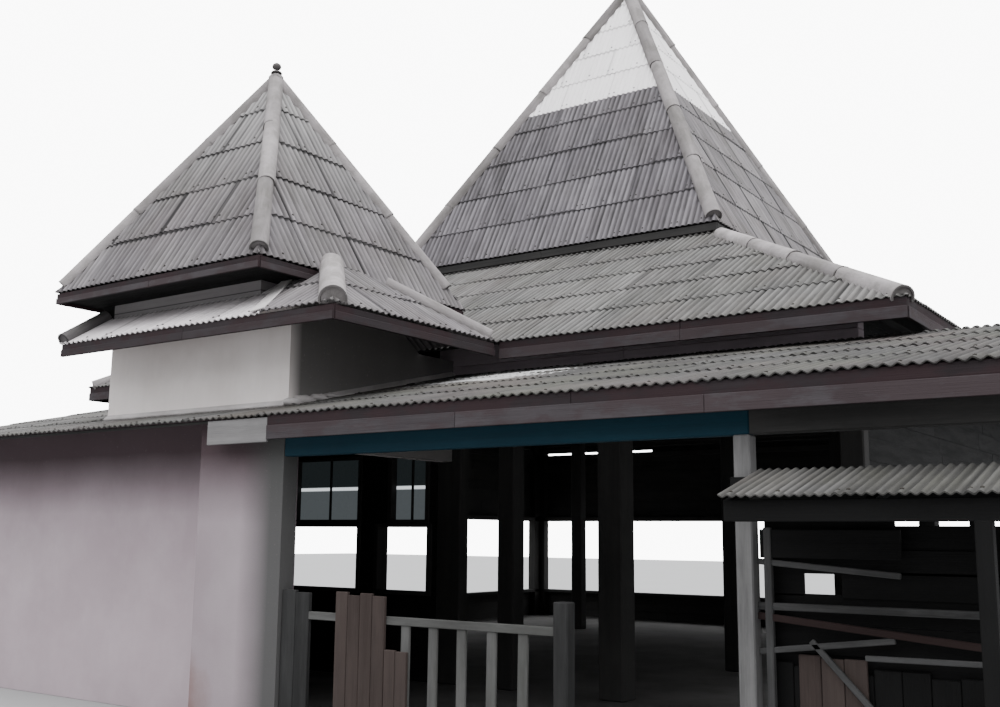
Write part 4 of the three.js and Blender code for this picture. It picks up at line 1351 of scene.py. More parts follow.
class Lumber:
    """Boards, posts and beams gathered into one piece."""

    SEAM = 0.0015
    LANES = 400
    LONGEST_SHIFT = 5.0

    def __init__(self, shop: Workshop, name: str, finish: Finish) -> None:
        """Starts an empty piece.

        Args:
            shop: makes the piece.
            name: the piece's name.
            finish: its finish.
        """
        self.shop = shop
        self.name = name
        self.finish = finish
        self.bm = with_maps()

    def board(
        self, start: Spot, end: Spot, across: Vector, size: Pair, worn: float = 0.004
    ) -> None:
        """Adds a straight board.

        Args:
            start: middle of one end.
            end: middle of the other end.
            across: direction of the board's width.
            size: (width, thickness).
            worn: width of the rounded edges.
        """
        start, end = Vector(start), Vector(end)
        axis = (end - start).normalized()
        across = (across - axis * across.dot(axis)).normalized()
        turn = Matrix((axis, across, axis.cross(across))).transposed().to_4x4()
        turn.translation = (start + end) / 2
        known = set(self.bm.faces)
        shape = Matrix.Diagonal(((end - start).length, size[0], size[1], 1.0))
        corners = bmesh.ops.create_cube(self.bm, size=1.0, matrix=shape)["verts"]
        edges = list(dict.fromkeys(edge for corner in corners for edge in corner.link_edges))
        offset = min(worn, size[1] * 0.3, size[0] * 0.3)
        bmesh.ops.bevel(
            self.bm, geom=edges, offset=offset, affect="EDGES", segments=1, profile=0.5, material=-1
        )
        faces, _, verts = fresh(self.bm, known)
        flow = self.bm.loops.layers.uv.get("Flow")
        lane = self.shop.rng.randrange(1, self.LANES)
        shift = self.shop.rng.uniform(0.0, self.LONGEST_SHIFT)
        for face in faces:
            face.normal_update()
            flat = max(range(3), key=lambda index: abs(face.normal[index]))
            for loop in face.loops:
                x, y, z = loop.vert.co
                loop[flow].uv = (x + shift, lane + 0.5 + (z if flat == 1 else y))
        bmesh.ops.transform(self.bm, matrix=turn, verts=verts)

    def beam(self, low: Spot, high: Spot, worn: float = 0.004) -> None:
        """Adds a board that fills a box along its longest side.

        Args:
            low: the box's lowest corner.
            high: its highest corner.
            worn: width of the rounded edges.
        """
        low, high = Vector(low), Vector(high)
        size = high - low
        order = sorted(range(3), key=lambda index: -size[index])
        half, across = Vector(), Vector()
        half[order[0]] = size[order[0]] / 2
        across[order[1]] = 1.0
        middle = (low + high) / 2
        self.board(middle - half, middle + half, across, (size[order[1]], size[order[2]]), worn)

    def run(self, low: Spot, high: Spot, longest: float = 3.2) -> None:
        """Fills a long box with boards laid end to end.

        Args:
            low: the box's lowest corner.
            high: its highest corner.
            longest: the longest board.
        """
        low, high = Vector(low), Vector(high)
        axis = max(range(3), key=lambda index: high[index] - low[index])
        step = high[axis] - low[axis]
        count = max(1, math.ceil(step / longest))
        step /= count
        for index in range(count):
            start, end = low.copy(), high.copy()
            start[axis] = low[axis] + step * index + self.SEAM
            end[axis] = low[axis] + step * (index + 1) - self.SEAM
            self.beam(start, end)

    def uprights(self, low: Spot, high: Spot, count: int, ragged: float = 0.03) -> None:
        """Fills a box with upright planks side by side, whose tops are ragged.

        Args:
            low: the box's lowest corner.
            high: its highest corner.
            count: number of planks.
            ragged: how much lower the tops may be.
        """
        low, high = Vector(low), Vector(high)
        width = (high.x - low.x) / count
        for index in range(count):
            top = high.z - self.shop.rng.uniform(0.0, ragged) * (index > 0)
            left = low.x + width * index + self.SEAM
            self.beam((left, low.y, low.z), (left + width - 2 * self.SEAM, high.y, top))

    def done(self, *replaces: str) -> None:
        """Finishes the piece, which stands for the nodes named."""
        self.shop.piece(self.name, self.bm, self.finish, replaces, crease=0.5)


CORNERS = (
    ("front_left", -1, -1),
    ("front_right", 1, -1),
    ("back_right", 1, 1),
    ("back_left", -1, 1),
)


@dataclass(frozen=True)
class Assembly:
    """A sub-assembly of the building: its fields after the workshop are its sizes."""

    shop: Workshop


@dataclass(frozen=True)
class HallRoof(Assembly):
    """The low skirt roof round the hall. Its hip caps lie between two insets from the eave."""

    square: SquareRoof = SquareRoof(-0.67, 1.51, 5.17, 3.455, 0.565)
    run: float = 2.924
    cap_start: float = 0.045
    cap_end: float = 2.70
    sheets: SheetStyle = SheetStyle(exposure=0.64)
    caps: CapStyle = CapStyle(0.098, 0.95)

    def build(self) -> None:
        """Lays the sheets, their screws and battens, and the hip caps."""
        layer = SheetLayer(self.shop, self.sheets)
        slopes = self.square.slopes(0.0, self.run)
        for side, slope in slopes.items():
            label = side.name.lower()
            layer.cover(f"hall_{label}_sheets", [slope], Finish.SHEET, (f"hall_skirt_{label}",))
        layer.fix("hall_roof_screws")
        layer.battens("hall_roof_battens", list(slopes.values()))
        caps = CapLayer(self.shop)
        for label, sx, sy in CORNERS:
            line = [self.square.hip(sx, sy, inset) for inset in (self.cap_start, self.cap_end)]
            caps.lay(f"hall_{label}_caps", [tuple(line)], self.caps, f"hall_skirt_cap_{label}")


@dataclass(frozen=True)
class SpireRoof(Assembly):
    """The tall pyramid over the hall, with newer pale sheets above a height."""

    square: SquareRoof = SquareRoof(-0.67, 1.51, 2.395, 5.16, 4.545 / 2.395)
    pale_z: float = 7.53
    pale_lap: float = 0.03
    cap_start: float = 0.045
    sheets: SheetStyle = SheetStyle(exposure=0.59, slip=0.014, lift=0.007)
    pale_sheets: SheetStyle = SheetStyle(exposure=0.52, lift=0.004)
    caps: CapStyle = CapStyle(0.098, 1.15)

    def build(self) -> None:
        """Lays the sheets, their screws and the hip caps."""
        split = (self.pale_z - self.square.eave_z) / self.square.pitch
        layer = SheetLayer(self.shop, self.sheets)
        for side, slope in self.square.slopes(0.0, split + self.pale_lap).items():
            label = side.name.lower()
            # The right and back slopes take the lighter copy of the slate: painted light.
            finish = Finish.SLATE if side in (Side.FRONT, Side.LEFT) else Finish.BLEACHED
            layer.cover(f"spire_{label}_sheets", [slope], finish, (f"spire_{label}",))
        pale = SheetLayer(self.shop, self.pale_sheets)
        top = self.square.slopes(split, self.square.half)
        pale.cover("spire_pale_sheets", list(top.values()), Finish.PALE)
        layer.fix("spire_screws")
        pale.fix("spire_top_screws")
        lines = []
        for _, sx, sy in CORNERS:
            low = self.square.hip(sx, sy, self.cap_start)
            lines.append((low, self.square.hip(sx, sy, self.square.half)))
        CapLayer(self.shop).lay("spire_caps", lines, self.caps, "spire_hip_caps")


@dataclass(frozen=True)
class TowerRoof(Assembly):
    """The tower's pyramid, the skirt roof below it and the apron in front.

    The skirt's eaves lie at right, front and back, and its hips run in by hip_run. The apron
    begins at left, and its right edge runs from apron_foot on the eave up to apron_top.
    """

    square: SquareRoof = SquareRoof(-1.71, -4.46, 1.47, 3.97, 2.46 / 1.47)
    right: float = 0.65
    front: float = -5.93
    back: float = -3.66
    left: float = -3.04
    eave_z: float = 3.455
    pitch: float = 0.66
    hip_run: float = 0.9614
    drum_right: float = -0.72
    wall_front: float = -5.45
    apron_drop: float = 0.02
    apron_foot: float = -0.205
    apron_top: Pair = (-0.66, -5.01)
    cap_start: float = 0.045
    back_start: float = 0.14
    sheets: SheetStyle = SheetStyle(exposure=0.57, slip=0.016, lift=0.008)
    caps: CapStyle = CapStyle(0.083, 0.95)
    front_caps: CapStyle = CapStyle(0.118, 1.1, sink=0.02)
    back_caps: CapStyle = CapStyle(0.079, 1.0, sink=0.01)
    verge_caps: CapStyle = CapStyle(0.079, 0.6, sink=0.0, finish=Finish.OLD_CAP)
    flashing: Pair = (0.13, 0.012)

    def build(self) -> None:
        """Lays the sheets and caps of the pyramid, the skirt and the apron."""
        layer = SheetLayer(self.shop, self.sheets)
        for side, slope in self.square.slopes(0.0, self.square.half).items():
            node = f"tower_spire_{side.name.lower()}"
            layer.cover(f"{node}_sheets", [slope], Finish.TOWER_SHEET, (node,))
        self._skirt(layer)
        layer.fix("tower_roof_screws")
        self._caps()
        self._flashing()

    def _height(self, inset: float) -> float:
        """Height of the skirt at an inset from its eave."""
        return self.eave_z + self.pitch * inset

    def _skirt(self, layer: SheetLayer) -> None:
        """Covers the skirt's three slopes and the apron.

        Args:
            layer: lays the sheets.
        """
        right, front, back, drum = self.right, self.front, self.back, self.drum_right
        hip_x, front_y, back_y = right - self.hip_run, front + self.hip_run, back - self.hip_run
        foot, (top_x, top_y) = self.apron_foot, self.apron_top
        plans = {
            Side.RIGHT: ((right, front), (right, back), (hip_x, back_y), (hip_x, front_y)),
            Side.FRONT: ((foot, front), (right, front), (hip_x, front_y), (top_x - 0.02, front_y)),
            Side.BACK: ((right, back), (drum, back), (drum, back_y), (hip_x, back_y)),
        }
        eaves = {Side.RIGHT: right, Side.FRONT: -front, Side.BACK: back}
        for side, plan in plans.items():
            slope = Slope(side, eaves[side], self.eave_z, self.pitch, plan)
            label = side.name.lower()
            name, node = f"tower_{label}_sheets", f"tower_skirt_{label}"
            layer.cover(name, [slope], Finish.TOWER_SHEET, (node,))
        wall = self.wall_front
        middle = foot + (top_x - foot) * (wall - front) / (top_y - front)
        wide = ((self.left, front), (foot, front), (middle, wall), (self.left, wall))
        narrow = ((drum, wall), (middle, wall), self.apron_top, (drum, top_y))
        level = self.eave_z - self.apron_drop
        slopes = [Slope(Side.FRONT, -front, level, self.pitch, plan) for plan in (wide, narrow)]
        layer.cover("tower_apron_sheets", slopes, Finish.APRON, ("tower_apron",))

    def _hip(self, y: float, inward: int, inset: float) -> Vector:
        """A point on a hip of the skirt, from the corner at y."""
        return Vector((self.right - inset, y + inward * inset, self._height(inset)))

    def _caps(self) -> None:
        """Lays the caps of the pyramid's and the skirt's hips and of the verge."""
        square, lines = self.square, []
        for label, sx, sy in CORNERS:
            start = self.back_start if label == "back_right" else self.cap_start
            lines.append((square.hip(sx, sy, start), square.hip(sx, sy, square.half)))
        layer = CapLayer(self.shop)
        layer.lay("tower_caps", lines, self.caps, "tower_spire_caps")
        hip = (self._hip(self.front, 1, 0.05), self._hip(self.front, 1, self.hip_run))
        layer.lay("tower_skirt_caps", [hip], self.front_caps, "tower_hip_cap")
        hip = (self._hip(self.back, -1, 0.05), self._hip(self.back, -1, 0.8 * self.hip_run))
        layer.lay("tower_back_caps", [hip], self.back_caps, "tower_back_hip_cap")
        x, rise = self.left + 0.07, self._height(self.wall_front - self.front)
        verge = (Vector((x, self.front, self.eave_z)), Vector((x, self.wall_front - 0.005, rise)))
        layer.lay("tower_verge_caps", [verge], self.verge_caps, "tower_verge_cap")

    def _flashing(self) -> None:
        """Lays the pale strip along the apron's right edge."""
        strip = Lumber(self.shop, "apron_flashing", Finish.MORTAR)
        inset = self.apron_top[1] - self.front
        start = Vector((self.apron_foot - 0.03, self.front + 0.01, self._height(0.01) + 0.004))
        end = Vector((self.apron_top[0] - 0.03, self.apron_top[1], self._height(inset) + 0.004))
        strip.board(start, end, X_AXIS, self.flashing, 0.003)
        strip.done()


@dataclass(frozen=True)
class LowRoofs(Assembly):
    """The verandah's roof, the lean-to round the tower and the stall's roof.

    The stall is (left, right, front, rear), and a lump of mortar (x, y, radius).
    """

    left: float = -5.84
    right: float = 5.84
    wall_x: float = -0.31
    wall_left: float = -2.86
    wall_front: float = -5.45
    hall_front: float = -3.1
    front: float = -6.215
    eave_z: float = 2.533
    pitch: float = 0.232
    stall: Quad = (4.24, 5.84, -6.673, -6.053)
    stall_z: float = 1.825
    stall_pitch: float = 0.29
    sheets: SheetStyle = SheetStyle(exposure=0.78, lift=0.006)
    stall_sheets: SheetStyle = SheetStyle(exposure=0.66, width=0.636, pitch=0.053, amplitude=0.007)
    rafter: Pair = (0.055, 0.085)
    rafter_drop: float = 0.105
    rafter_pitch: float = 1.17
    rafters: int = 6
    fillet: Pair = (0.075, 0.03)
    lumps: tuple[Triple, ...] = (
        (-0.27, -5.42, 0.075), (-0.29, -5.28, 0.09), (-0.28, -5.1, 0.07), (-0.30, -4.93, 0.055),
    )

    def build(self) -> None:
        """Lays the sheets, the rafters below them and the mortar at the walls."""
        layer = SheetLayer(self.shop, self.sheets)
        verandah = self._slope(self.wall_x, self.right, self.front, self.hall_front)
        front = self._slope(self.left, self.wall_x, self.front, self.wall_front)
        rear = self._slope(self.left, self.wall_left, self.wall_front, self.hall_front)
        layer.cover("verandah_sheets", [verandah], Finish.LOW_SHEET, ("verandah_roof",))
        layer.cover("lean_to_sheets", [front, rear], Finish.LEAN_SHEET, ("lean_to_roof",))
        plan = self._slope(*self.stall).plan
        stall = Slope(Side.FRONT, -self.stall[2], self.stall_z, self.stall_pitch, plan)
        narrow = SheetLayer(self.shop, self.stall_sheets)
        narrow.cover("stall_sheets", [stall], Finish.STALL_SHEET, ("stall_roof",))
        narrow.fix("stall_roof_screws")
        layer.fix("low_roof_screws")
        layer.battens("low_roof_battens", [verandah, front, rear])
        self._rafters()
        self._mortar()

    def _slope(self, left: float, right: float, front: float, back: float) -> Slope:
        """A rectangle of the lean-to's plane."""
        plan = ((left, front), (right, front), (right, back), (left, back))
        return Slope(Side.FRONT, -self.front, self.eave_z, self.pitch, plan)

    def _level(self, y: float) -> float:
        """Height of the roof's plane."""
        return self.eave_z + self.pitch * (y - self.front)

    def _rafters(self) -> None:
        """Puts rafters between the verandah's beam and the hall."""
        lumber = Lumber(self.shop, "verandah_rafters", Finish.DARK)
        low, high = self.front + 0.10, self.hall_front - 0.01
        for index in range(self.rafters):
            x = self.wall_x + 0.12 + index * self.rafter_pitch
            start = (x, low, self._level(low) - self.rafter_drop)
            end = (x, high, self._level(high) - self.rafter_drop)
            lumber.board(start, end, X_AXIS, self.rafter)
        lumber.done()

    def _mortar(self) -> None:
        """Lays the mortar where the low roof meets the tower's walls."""
        fillet = Lumber(self.shop, "wall_foot_mortar", Finish.MORTAR)
        y, z = self.wall_front - 0.02, self._level(self.wall_front) + 0.012
        tilted = Vector((0.0, -1.0, -0.8))
        fillet.board((self.wall_left, y, z), (self.wall_x, y, z), tilted, self.fillet, 0.009)
        x, low, high = self.wall_x + 0.02, self.wall_front, self.hall_front - 0.02
        start, end = (x, low, self._level(low) + 0.012), (x, high, self._level(high) + 0.012)
        fillet.board(start, end, Vector((1.0, 0.0, -0.8)), self.fillet, 0.009)
        fillet.done()
        lump = with_maps()
        for x, y, size in self.lumps:
            shape = Matrix.Diagonal((1.0, 1.5, 0.55, 1.0))
            turn = Matrix.Translation((x, y, self._level(y) + 0.01)) @ shape
            bmesh.ops.create_icosphere(lump, subdivisions=3, radius=size, matrix=turn)
        for vert in lump.verts:
            vert.co += Vector([self.shop.rng.uniform(-0.006, 0.006) for _ in range(3)])
        self.shop.piece("corner_mortar", lump, Finish.MORTAR, crease=1.5)


@dataclass(frozen=True)
class Fascias(Assembly):
    """The boards under the eaves, each with a facing board over a share of its height. Above the
    facing board the dark board shows, for its dark paint and a painted shadow under the sheets'
    edge.

    The boards reach up into the sheets' waves, and the closing strip behind them goes further.
    """

    thick: float = 0.024
    facing: float = 0.009
    share: float = 0.62
    reach: float = 0.014
    closure: float = 0.012
    longest_facing: float = 2.6
    return_y: float = -5.45
    return_z: float = 3.70
    tower_gap: Pair = (-2.865, 0.66)
    soffit_lift: float = 0.03
    soffit_thick: float = 0.014

    def build(self) -> None:
        """Makes the boards of every eave."""
        self._spire()
        around = (Side.RIGHT, Side.BACK, Side.LEFT, Side.FRONT)
        self._eave("hall_fascia", Finish.LIP, around, self.tower_gap)
        self._eave("tower_fascia", Finish.FACING, (Side.FRONT, Side.RIGHT))
        self._eave("tower_spire_fascia", Finish.LIP, tuple(Side))
        self._soffit()
        self._eave("verandah_fascia", Finish.LIP, (Side.FRONT,))
        board = Lumber(self.shop, "pale_eave_board", Finish.GREY)
        board.beam(*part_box("pale_board"))
        board.done("pale_board")

    def _spire(self) -> None:
        """Makes the dark band under the tall pyramid."""
        band = Lumber(self.shop, "spire_fascia_boards", Finish.DARK)
        low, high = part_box("spire_fascia")
        for side in Side:
            self._edge(band, None, low, high, side)
        band.done("spire_fascia")

    def _eave(
        self,
        node: str,
        facing: Finish,
        sides: tuple[Side, ...],
        gap: Pair | None = None,
    ) -> None:
        """Makes the boards of one eave, and the facing boards over them.

        Args:
            node: the frame's node that the boards stand for.
            facing: finish of the facing boards.
            sides: the sides that have boards.
            gap: ends of the gap in the front's boards, if there is one.
        """
        upper = Lumber(self.shop, f"{node}_boards", Finish.FASCIA)
        lower = Lumber(self.shop, f"{node}_facing", facing)
        low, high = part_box(node)
        for side in sides:
            if gap and side is Side.FRONT:
                self._edge(upper, lower, low, Vector((gap[0], high.y, high.z)), side)
                self._edge(upper, lower, Vector((gap[1], low.y, low.z)), high, side)
            else:
                self._edge(upper, lower, low, high, side)
        upper.done(node)
        lower.done()

    def _edge(
        self, upper: Lumber, lower: Lumber | None, low: Vector, high: Vector, side: Side
    ) -> None:
        """Runs a board along one side of a box.

        Args:
            upper: gets the full board.
            lower: gets the facing board, if there is one.
            low: the box's lowest corner.
            high: its highest corner.
            side: the side that the board closes.
        """
        start, end = low.copy(), high.copy()
        axis = 0 if side.facing.x else 1
        other = 1 - axis
        if axis == 0 and high[other] - low[other] > 1.0:
            start[other] += self.thick
            end[other] -= self.thick
        if side.facing[axis] > 0:
            start[axis] = high[axis] - self.thick
            out_low, out_high = high[axis], high[axis] + self.facing
        else:
            end[axis] = low[axis] + self.thick
            out_low, out_high = low[axis] - self.facing, low[axis]
        end.z += self.reach
        upper.run(start, end)
        if lower:
            face_low, face_high = start.copy(), end.copy()
            face_low[axis], face_high[axis] = out_low, out_high
            face_high.z = low.z + (high.z - low.z) * self.share
            lower.run(face_low, face_high, self.longest_facing)
        back_low, back_high = start.copy(), end.copy()
        shift = -side.facing[axis] * self.thick
        back_low[axis] += shift
        back_high[axis] += shift
        back_low.z = high.z - 0.05
        back_high.z += self.closure
        upper.run(back_low, back_high)

    def _soffit(self) -> None:
        """Closes the tower pyramid's eave from below, between its fascia and the drum."""
        # The soffit and the return board take the near-black wood: painted shade.
        boards = Lumber(self.shop, "tower_soffit_boards", Finish.SHADED_WOOD)
        low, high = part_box("tower_spire_fascia")
        drum_low, drum_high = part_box("tower_drum")
        edge, bottom = self.thick, low.z + self.soffit_lift
        top = bottom + self.soffit_thick
        boards.run((low.x + edge, low.y + edge, bottom), (high.x - edge, drum_low.y, top))
        boards.run((low.x + edge, drum_high.y, bottom), (high.x - edge, high.y - edge, top))
        boards.run((low.x + edge, drum_low.y, bottom), (drum_low.x, drum_high.y, top))
        boards.run((drum_high.x, drum_low.y, bottom), (high.x - edge, drum_high.y, top))
        start = (low.x + 0.12, self.return_y, self.return_z)
        boards.run(start, (drum_low.x, self.return_y + 0.02, bottom))
        boards.done()


@dataclass(frozen=True)
class Verandah(Assembly):
    """Beam, posts, balustrade and board panel of the verandah."""

    beam_split: float = 4.17
    slat_x: float = 1.529
    slat_pitch: float = 0.2505
    slats: int = 5
    slat: Pair = (0.078, 0.022)
    rail_y: float = -6.0
    rails: Pair = (0.991, 0.269)
    rail: Pair = (0.058, 0.04)
    panel_split: float = 1.37
    panel_low: float = 0.79
    worn: float = 0.008

    def build(self) -> None:
        """Makes the timber of the verandah."""
        low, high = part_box("verandah_beam")
        beam = Lumber(self.shop, "verandah_blue_beam", Finish.BLUE)
        beam.beam(low, (self.beam_split, high.y, high.z), self.worn)
        beam.done("verandah_beam")
        # Past the split the beam is dark wood instead of blue: painted shade where the beam lies in
        # shadow.
        rest = Lumber(self.shop, "verandah_beam_end", Finish.DARK)
        rest.beam((self.beam_split, low.y, low.z), high, self.worn)
        rest.done()
        for node in ("main_post", "corner_post"):
            post = Lumber(self.shop, f"{node}_timber", Finish.POST)
            post.beam(*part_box(node), self.worn)
            post.done(node)
        self._balustrade()
        panel = Lumber(self.shop, "board_panel_planks", Finish.BROWN)
        low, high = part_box("board_panel")
        panel.uprights(low, (self.panel_split, high.y, high.z), 4)
        start = (self.panel_split + 0.002, low.y, low.z)
        panel.uprights(start, (high.x, high.y, self.panel_low), 2)
        panel.done("board_panel")

    def _balustrade(self) -> None:
        """Makes the balustrade's boards, rails and slats."""
        # The balustrade's timber takes darker copies of the grey wood: painted shade.
        rail = Lumber(self.shop, "balustrade_timber", Finish.RAIL)
        y = self.rail_y
        ends = Lumber(self.shop, "balustrade_ends", Finish.DIM)
        ends.beam((2.80, y - 0.05, FLOOR_TOP), (2.91, y + 0.05, 1.18), self.worn)
        ends.uprights((0.30, y - 0.02, FLOOR_TOP), (0.59, y + 0.015, 1.175), 2)
        ends.done()
        for z in self.rails:
            rail.board((0.585, y, z), (2.81, y, z - 0.002), UP, self.rail)
        for index in range(self.slats):
            x = self.slat_x + self.slat_pitch * index
            lean = self.shop.rng.uniform(-0.012, 0.012)
            rail.board((x, y, 0.2), (x + lean, y, 0.975), X_AXIS, self.slat)
        rail.done("balustrade")


@dataclass(frozen=True)
class Stall(Assembly):
    """The stall in the right bay of the verandah: its frame, rails and boards.

    Beams and post are given by two corners, uprights and screen boards by (left, right, bottom,
    top), and rails by (x, z) of both ends and their height.
    """

    beams: tuple[tuple[Triple, Triple], ...] = (
        ((4.25, -6.623, 1.685), (5.81, -6.563, 1.80)),
        ((4.07, -6.113, 1.80), (5.81, -6.053, 1.95)),
    )
    post: tuple[Triple, Triple] = ((5.52, -6.633, 0.0), (5.60, -6.553, 1.69))
    rafters: Triple = (4.275, 5.03, 5.785)
    uprights: tuple[Quad, ...] = ((4.218, 4.263, FLOOR_TOP, 1.66), (5.517, 5.577, 0.50, 1.50))
    rail_y: float = -5.98
    rails: tuple[tuple[float, float, float, float, float], ...] = (
        (4.173, 1.211, 5.557, 1.211, 0.042),
        (4.173, 0.955, 4.945, 1.056, 0.034),
        (4.173, 1.466, 4.990, 1.400, 0.034),
        (4.480, 1.030, 4.800, 0.690, 0.034),
        (4.780, 0.955, 5.557, 0.965, 0.030),
        (5.150, 0.640, 5.557, 0.790, 0.034),
    )
    screen: tuple[Quad, ...] = (
        (4.19, 4.95, 1.53, 1.72),
        (4.94, 5.55, 1.52, 1.672),
        (4.19, 5.55, 1.40, 1.54),
        (4.19, 4.42, 1.27, 1.42),
        (4.64, 5.55, 1.265, 1.42),
        (4.19, 5.55, 1.10, 1.285),
        (4.19, 5.55, 0.95, 1.12),
        (4.19, 5.55, 0.79, 0.97),
        (4.19, 5.55, 0.62, 0.81),
    )

    def build(self) -> None:
        """Makes the stall's timber."""
        # The stall's frame takes the near-black wood: painted shade.
        frame_boards = Lumber(self.shop, "stall_frame_timber", Finish.SHADED_WOOD)
        for low, high in self.beams:
            frame_boards.beam(low, high)
        frame_boards.beam(*self.post, 0.006)
        for x in self.rafters:
            frame_boards.board((x, -6.59, 1.775), (x, -6.08, 1.922), X_AXIS, (0.05, 0.06))
        frame_boards.done("stall_frame")
        # The stall's rails take a darker copy of the grey wood: painted shade.
        rails = Lumber(self.shop, "stall_rail_timber", Finish.STICK)
        y = self.rail_y
        for left, right, bottom, top in self.uprights:
            rails.beam((left, y - 0.02, bottom), (right, y + 0.02, top))
        for x0, z0, x1, z1, height in self.rails:
            rails.board((x0, y, z0), (x1, y, z1), UP, (height, 0.024))
        rails.done("stall_rails")
        self._screen()
        red = Lumber(self.shop, "stall_red_rail", Finish.RED)
        red.board((4.173, y - 0.004, 1.156), (5.557, y - 0.004, 1.032), UP, (0.040, 0.026))
        red.done()
        panel = Lumber(self.shop, "stall_panel_planks", Finish.BROWN)
        panel.uprights(*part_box("stall_panel"), 3)
        panel.done("stall_panel")
        # The low boards take the near-black wood: painted shade.
        low_boards = Lumber(self.shop, "stall_low_planks", Finish.SHADED_WOOD)
        low_boards.uprights(*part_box("stall_low_boards"), 9, 0.05)
        low_boards.done("stall_low_boards")

    def _screen(self) -> None:
        """Makes the dark boards behind the rails, with a small gap for a window."""
        # The screen boards take the near-black wood: painted shade.
        screen = Lumber(self.shop, "stall_screen_boards", Finish.SHADED_WOOD)
        screen.beam((4.193, self.rail_y - 0.012, 1.486), (5.0, self.rail_y + 0.012, 1.65))
        y = self.rail_y + 0.07
        for index, (left, right, low, high) in enumerate(self.screen):
            depth = y + 0.012 * (index % 2)
            screen.beam((left, depth, low), (right, depth + 0.018, high))
        screen.done()


@dataclass(frozen=True)
class BoardWall(Assembly):
    """A boarded wall of the hall with openings and vents between its posts.

    Low boards end at the sill, the board band reaches from head to vent_sill, and the plate lies
    above vent_head. Where the wall is in shut, a board covers the lowest slit of the vents.
    """

    node: str
    side: Side
    bays: tuple[Pair, ...]
    sill: float = 0.60
    head: float = 1.88
    vent_sill: float = 3.14
    vent_head: float = 3.56
    depth: float = 0.15
    skin: float = 0.022
    lap: float = 0.015
    vent_bars: int = 5
    shut: tuple[Pair, ...] = ()
    finish: Finish = Finish.DARK

    def build(self) -> None:
        """Makes the wall's posts, rails and boards."""
        low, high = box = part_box(self.node)
        lumber = Lumber(self.shop, f"{self.node}_boards", self.finish)
        axis = 1 if self.side.facing.x else 0
        start, end = low[axis], high[axis]
        inner, skin = self.depth, self.skin
        for bottom, top, outer in (
            (self.sill - 0.05, self.sill, 0.0),
            (self.head, self.head + 0.08, skin),
            (self.vent_sill - 0.08, self.vent_sill, skin),
            (self.vent_head, high.z, 0.0),
        ):
            self._put(lumber, box, (start, end), (bottom, top), (outer, inner))
        edges = [start, *(limit for bay in self.bays for limit in bay), end]
        for left, right in zip(edges[::2], edges[1::2]):
            for bottom, top in ((self.sill, self.head), (self.vent_sill, self.vent_head)):
                self._put(lumber, box, (left, right), (bottom, top), (0.0, skin))
            self._put(lumber, box, (left, right), (low.z, self.vent_head), (skin, inner))
        for bottom, top, rows in ((low.z, self.sill - 0.05, 3), (self.head, self.vent_sill, 7)):
            height = (top - bottom) / rows
            for row in range(rows):
                z = bottom + row * height
                upper = z + height + self.lap * (row < rows - 1)
                self._row(lumber, box, (start, end), (z, upper), 0.006 * (row % 2))
        for left, right in self.bays:
            for bar in range(1, self.vent_bars + 1):
                z = self.vent_sill + (self.vent_head - self.vent_sill) * bar / (self.vent_bars + 1)
                self._put(lumber, box, (left, right), (z - 0.032, z + 0.032), (0.05, 0.072))
        for left, right in self.shut:
            level = (self.vent_sill - 0.01, self.vent_sill + 0.06)
            self._put(lumber, box, (left, right), level, (0.075, 0.095))
        lumber.done(self.node)

    def _row(self, lumber: Lumber, box: Box, reach: Pair, level: Pair, depth: float) -> None:
        """Lays one row of boards of random lengths at a depth.

        Args:
            lumber: gets the boards.
            box: the wall's lowest and highest corner.
            reach: ends of the row along the wall.
            level: its lower and upper edge.
            depth: its depth from the outer face.
        """
        spot = reach[0]
        while spot < reach[1] - 0.05:
            end = spot + lumber.shop.rng.uniform(1.6, 2.8)
            end = reach[1] if end > reach[1] - 0.5 else end
            sink = depth + lumber.shop.rng.uniform(0.0, 0.003)
            self._put(lumber, box, (spot, end - 0.003), level, (sink, self.skin + 0.004))
            spot = end

    def _put(self, lumber: Lumber, box: Box, reach: Pair, level: Pair, depth: Pair) -> None:
        """Adds a board by its place on the wall.

        Args:
            lumber: gets the board.
            box: the wall's lowest and highest corner.
            reach: the board's ends along the wall.
            level: its lower and upper edge.
            depth: its depths from the outer face.
        """
        across = 0 if self.side.facing.x else 1
        sign = self.side.facing[across]
        outer = box[1][across] if sign > 0 else box[0][across]
        faces = sorted((outer - sign * depth[0], outer - sign * depth[1]))
        a, b = Vector((0.0, 0.0, level[0])), Vector((0.0, 0.0, level[1]))
        a[across], b[across] = faces
        a[1 - across], b[1 - across] = reach
        lumber.beam(a, b, 0.003)


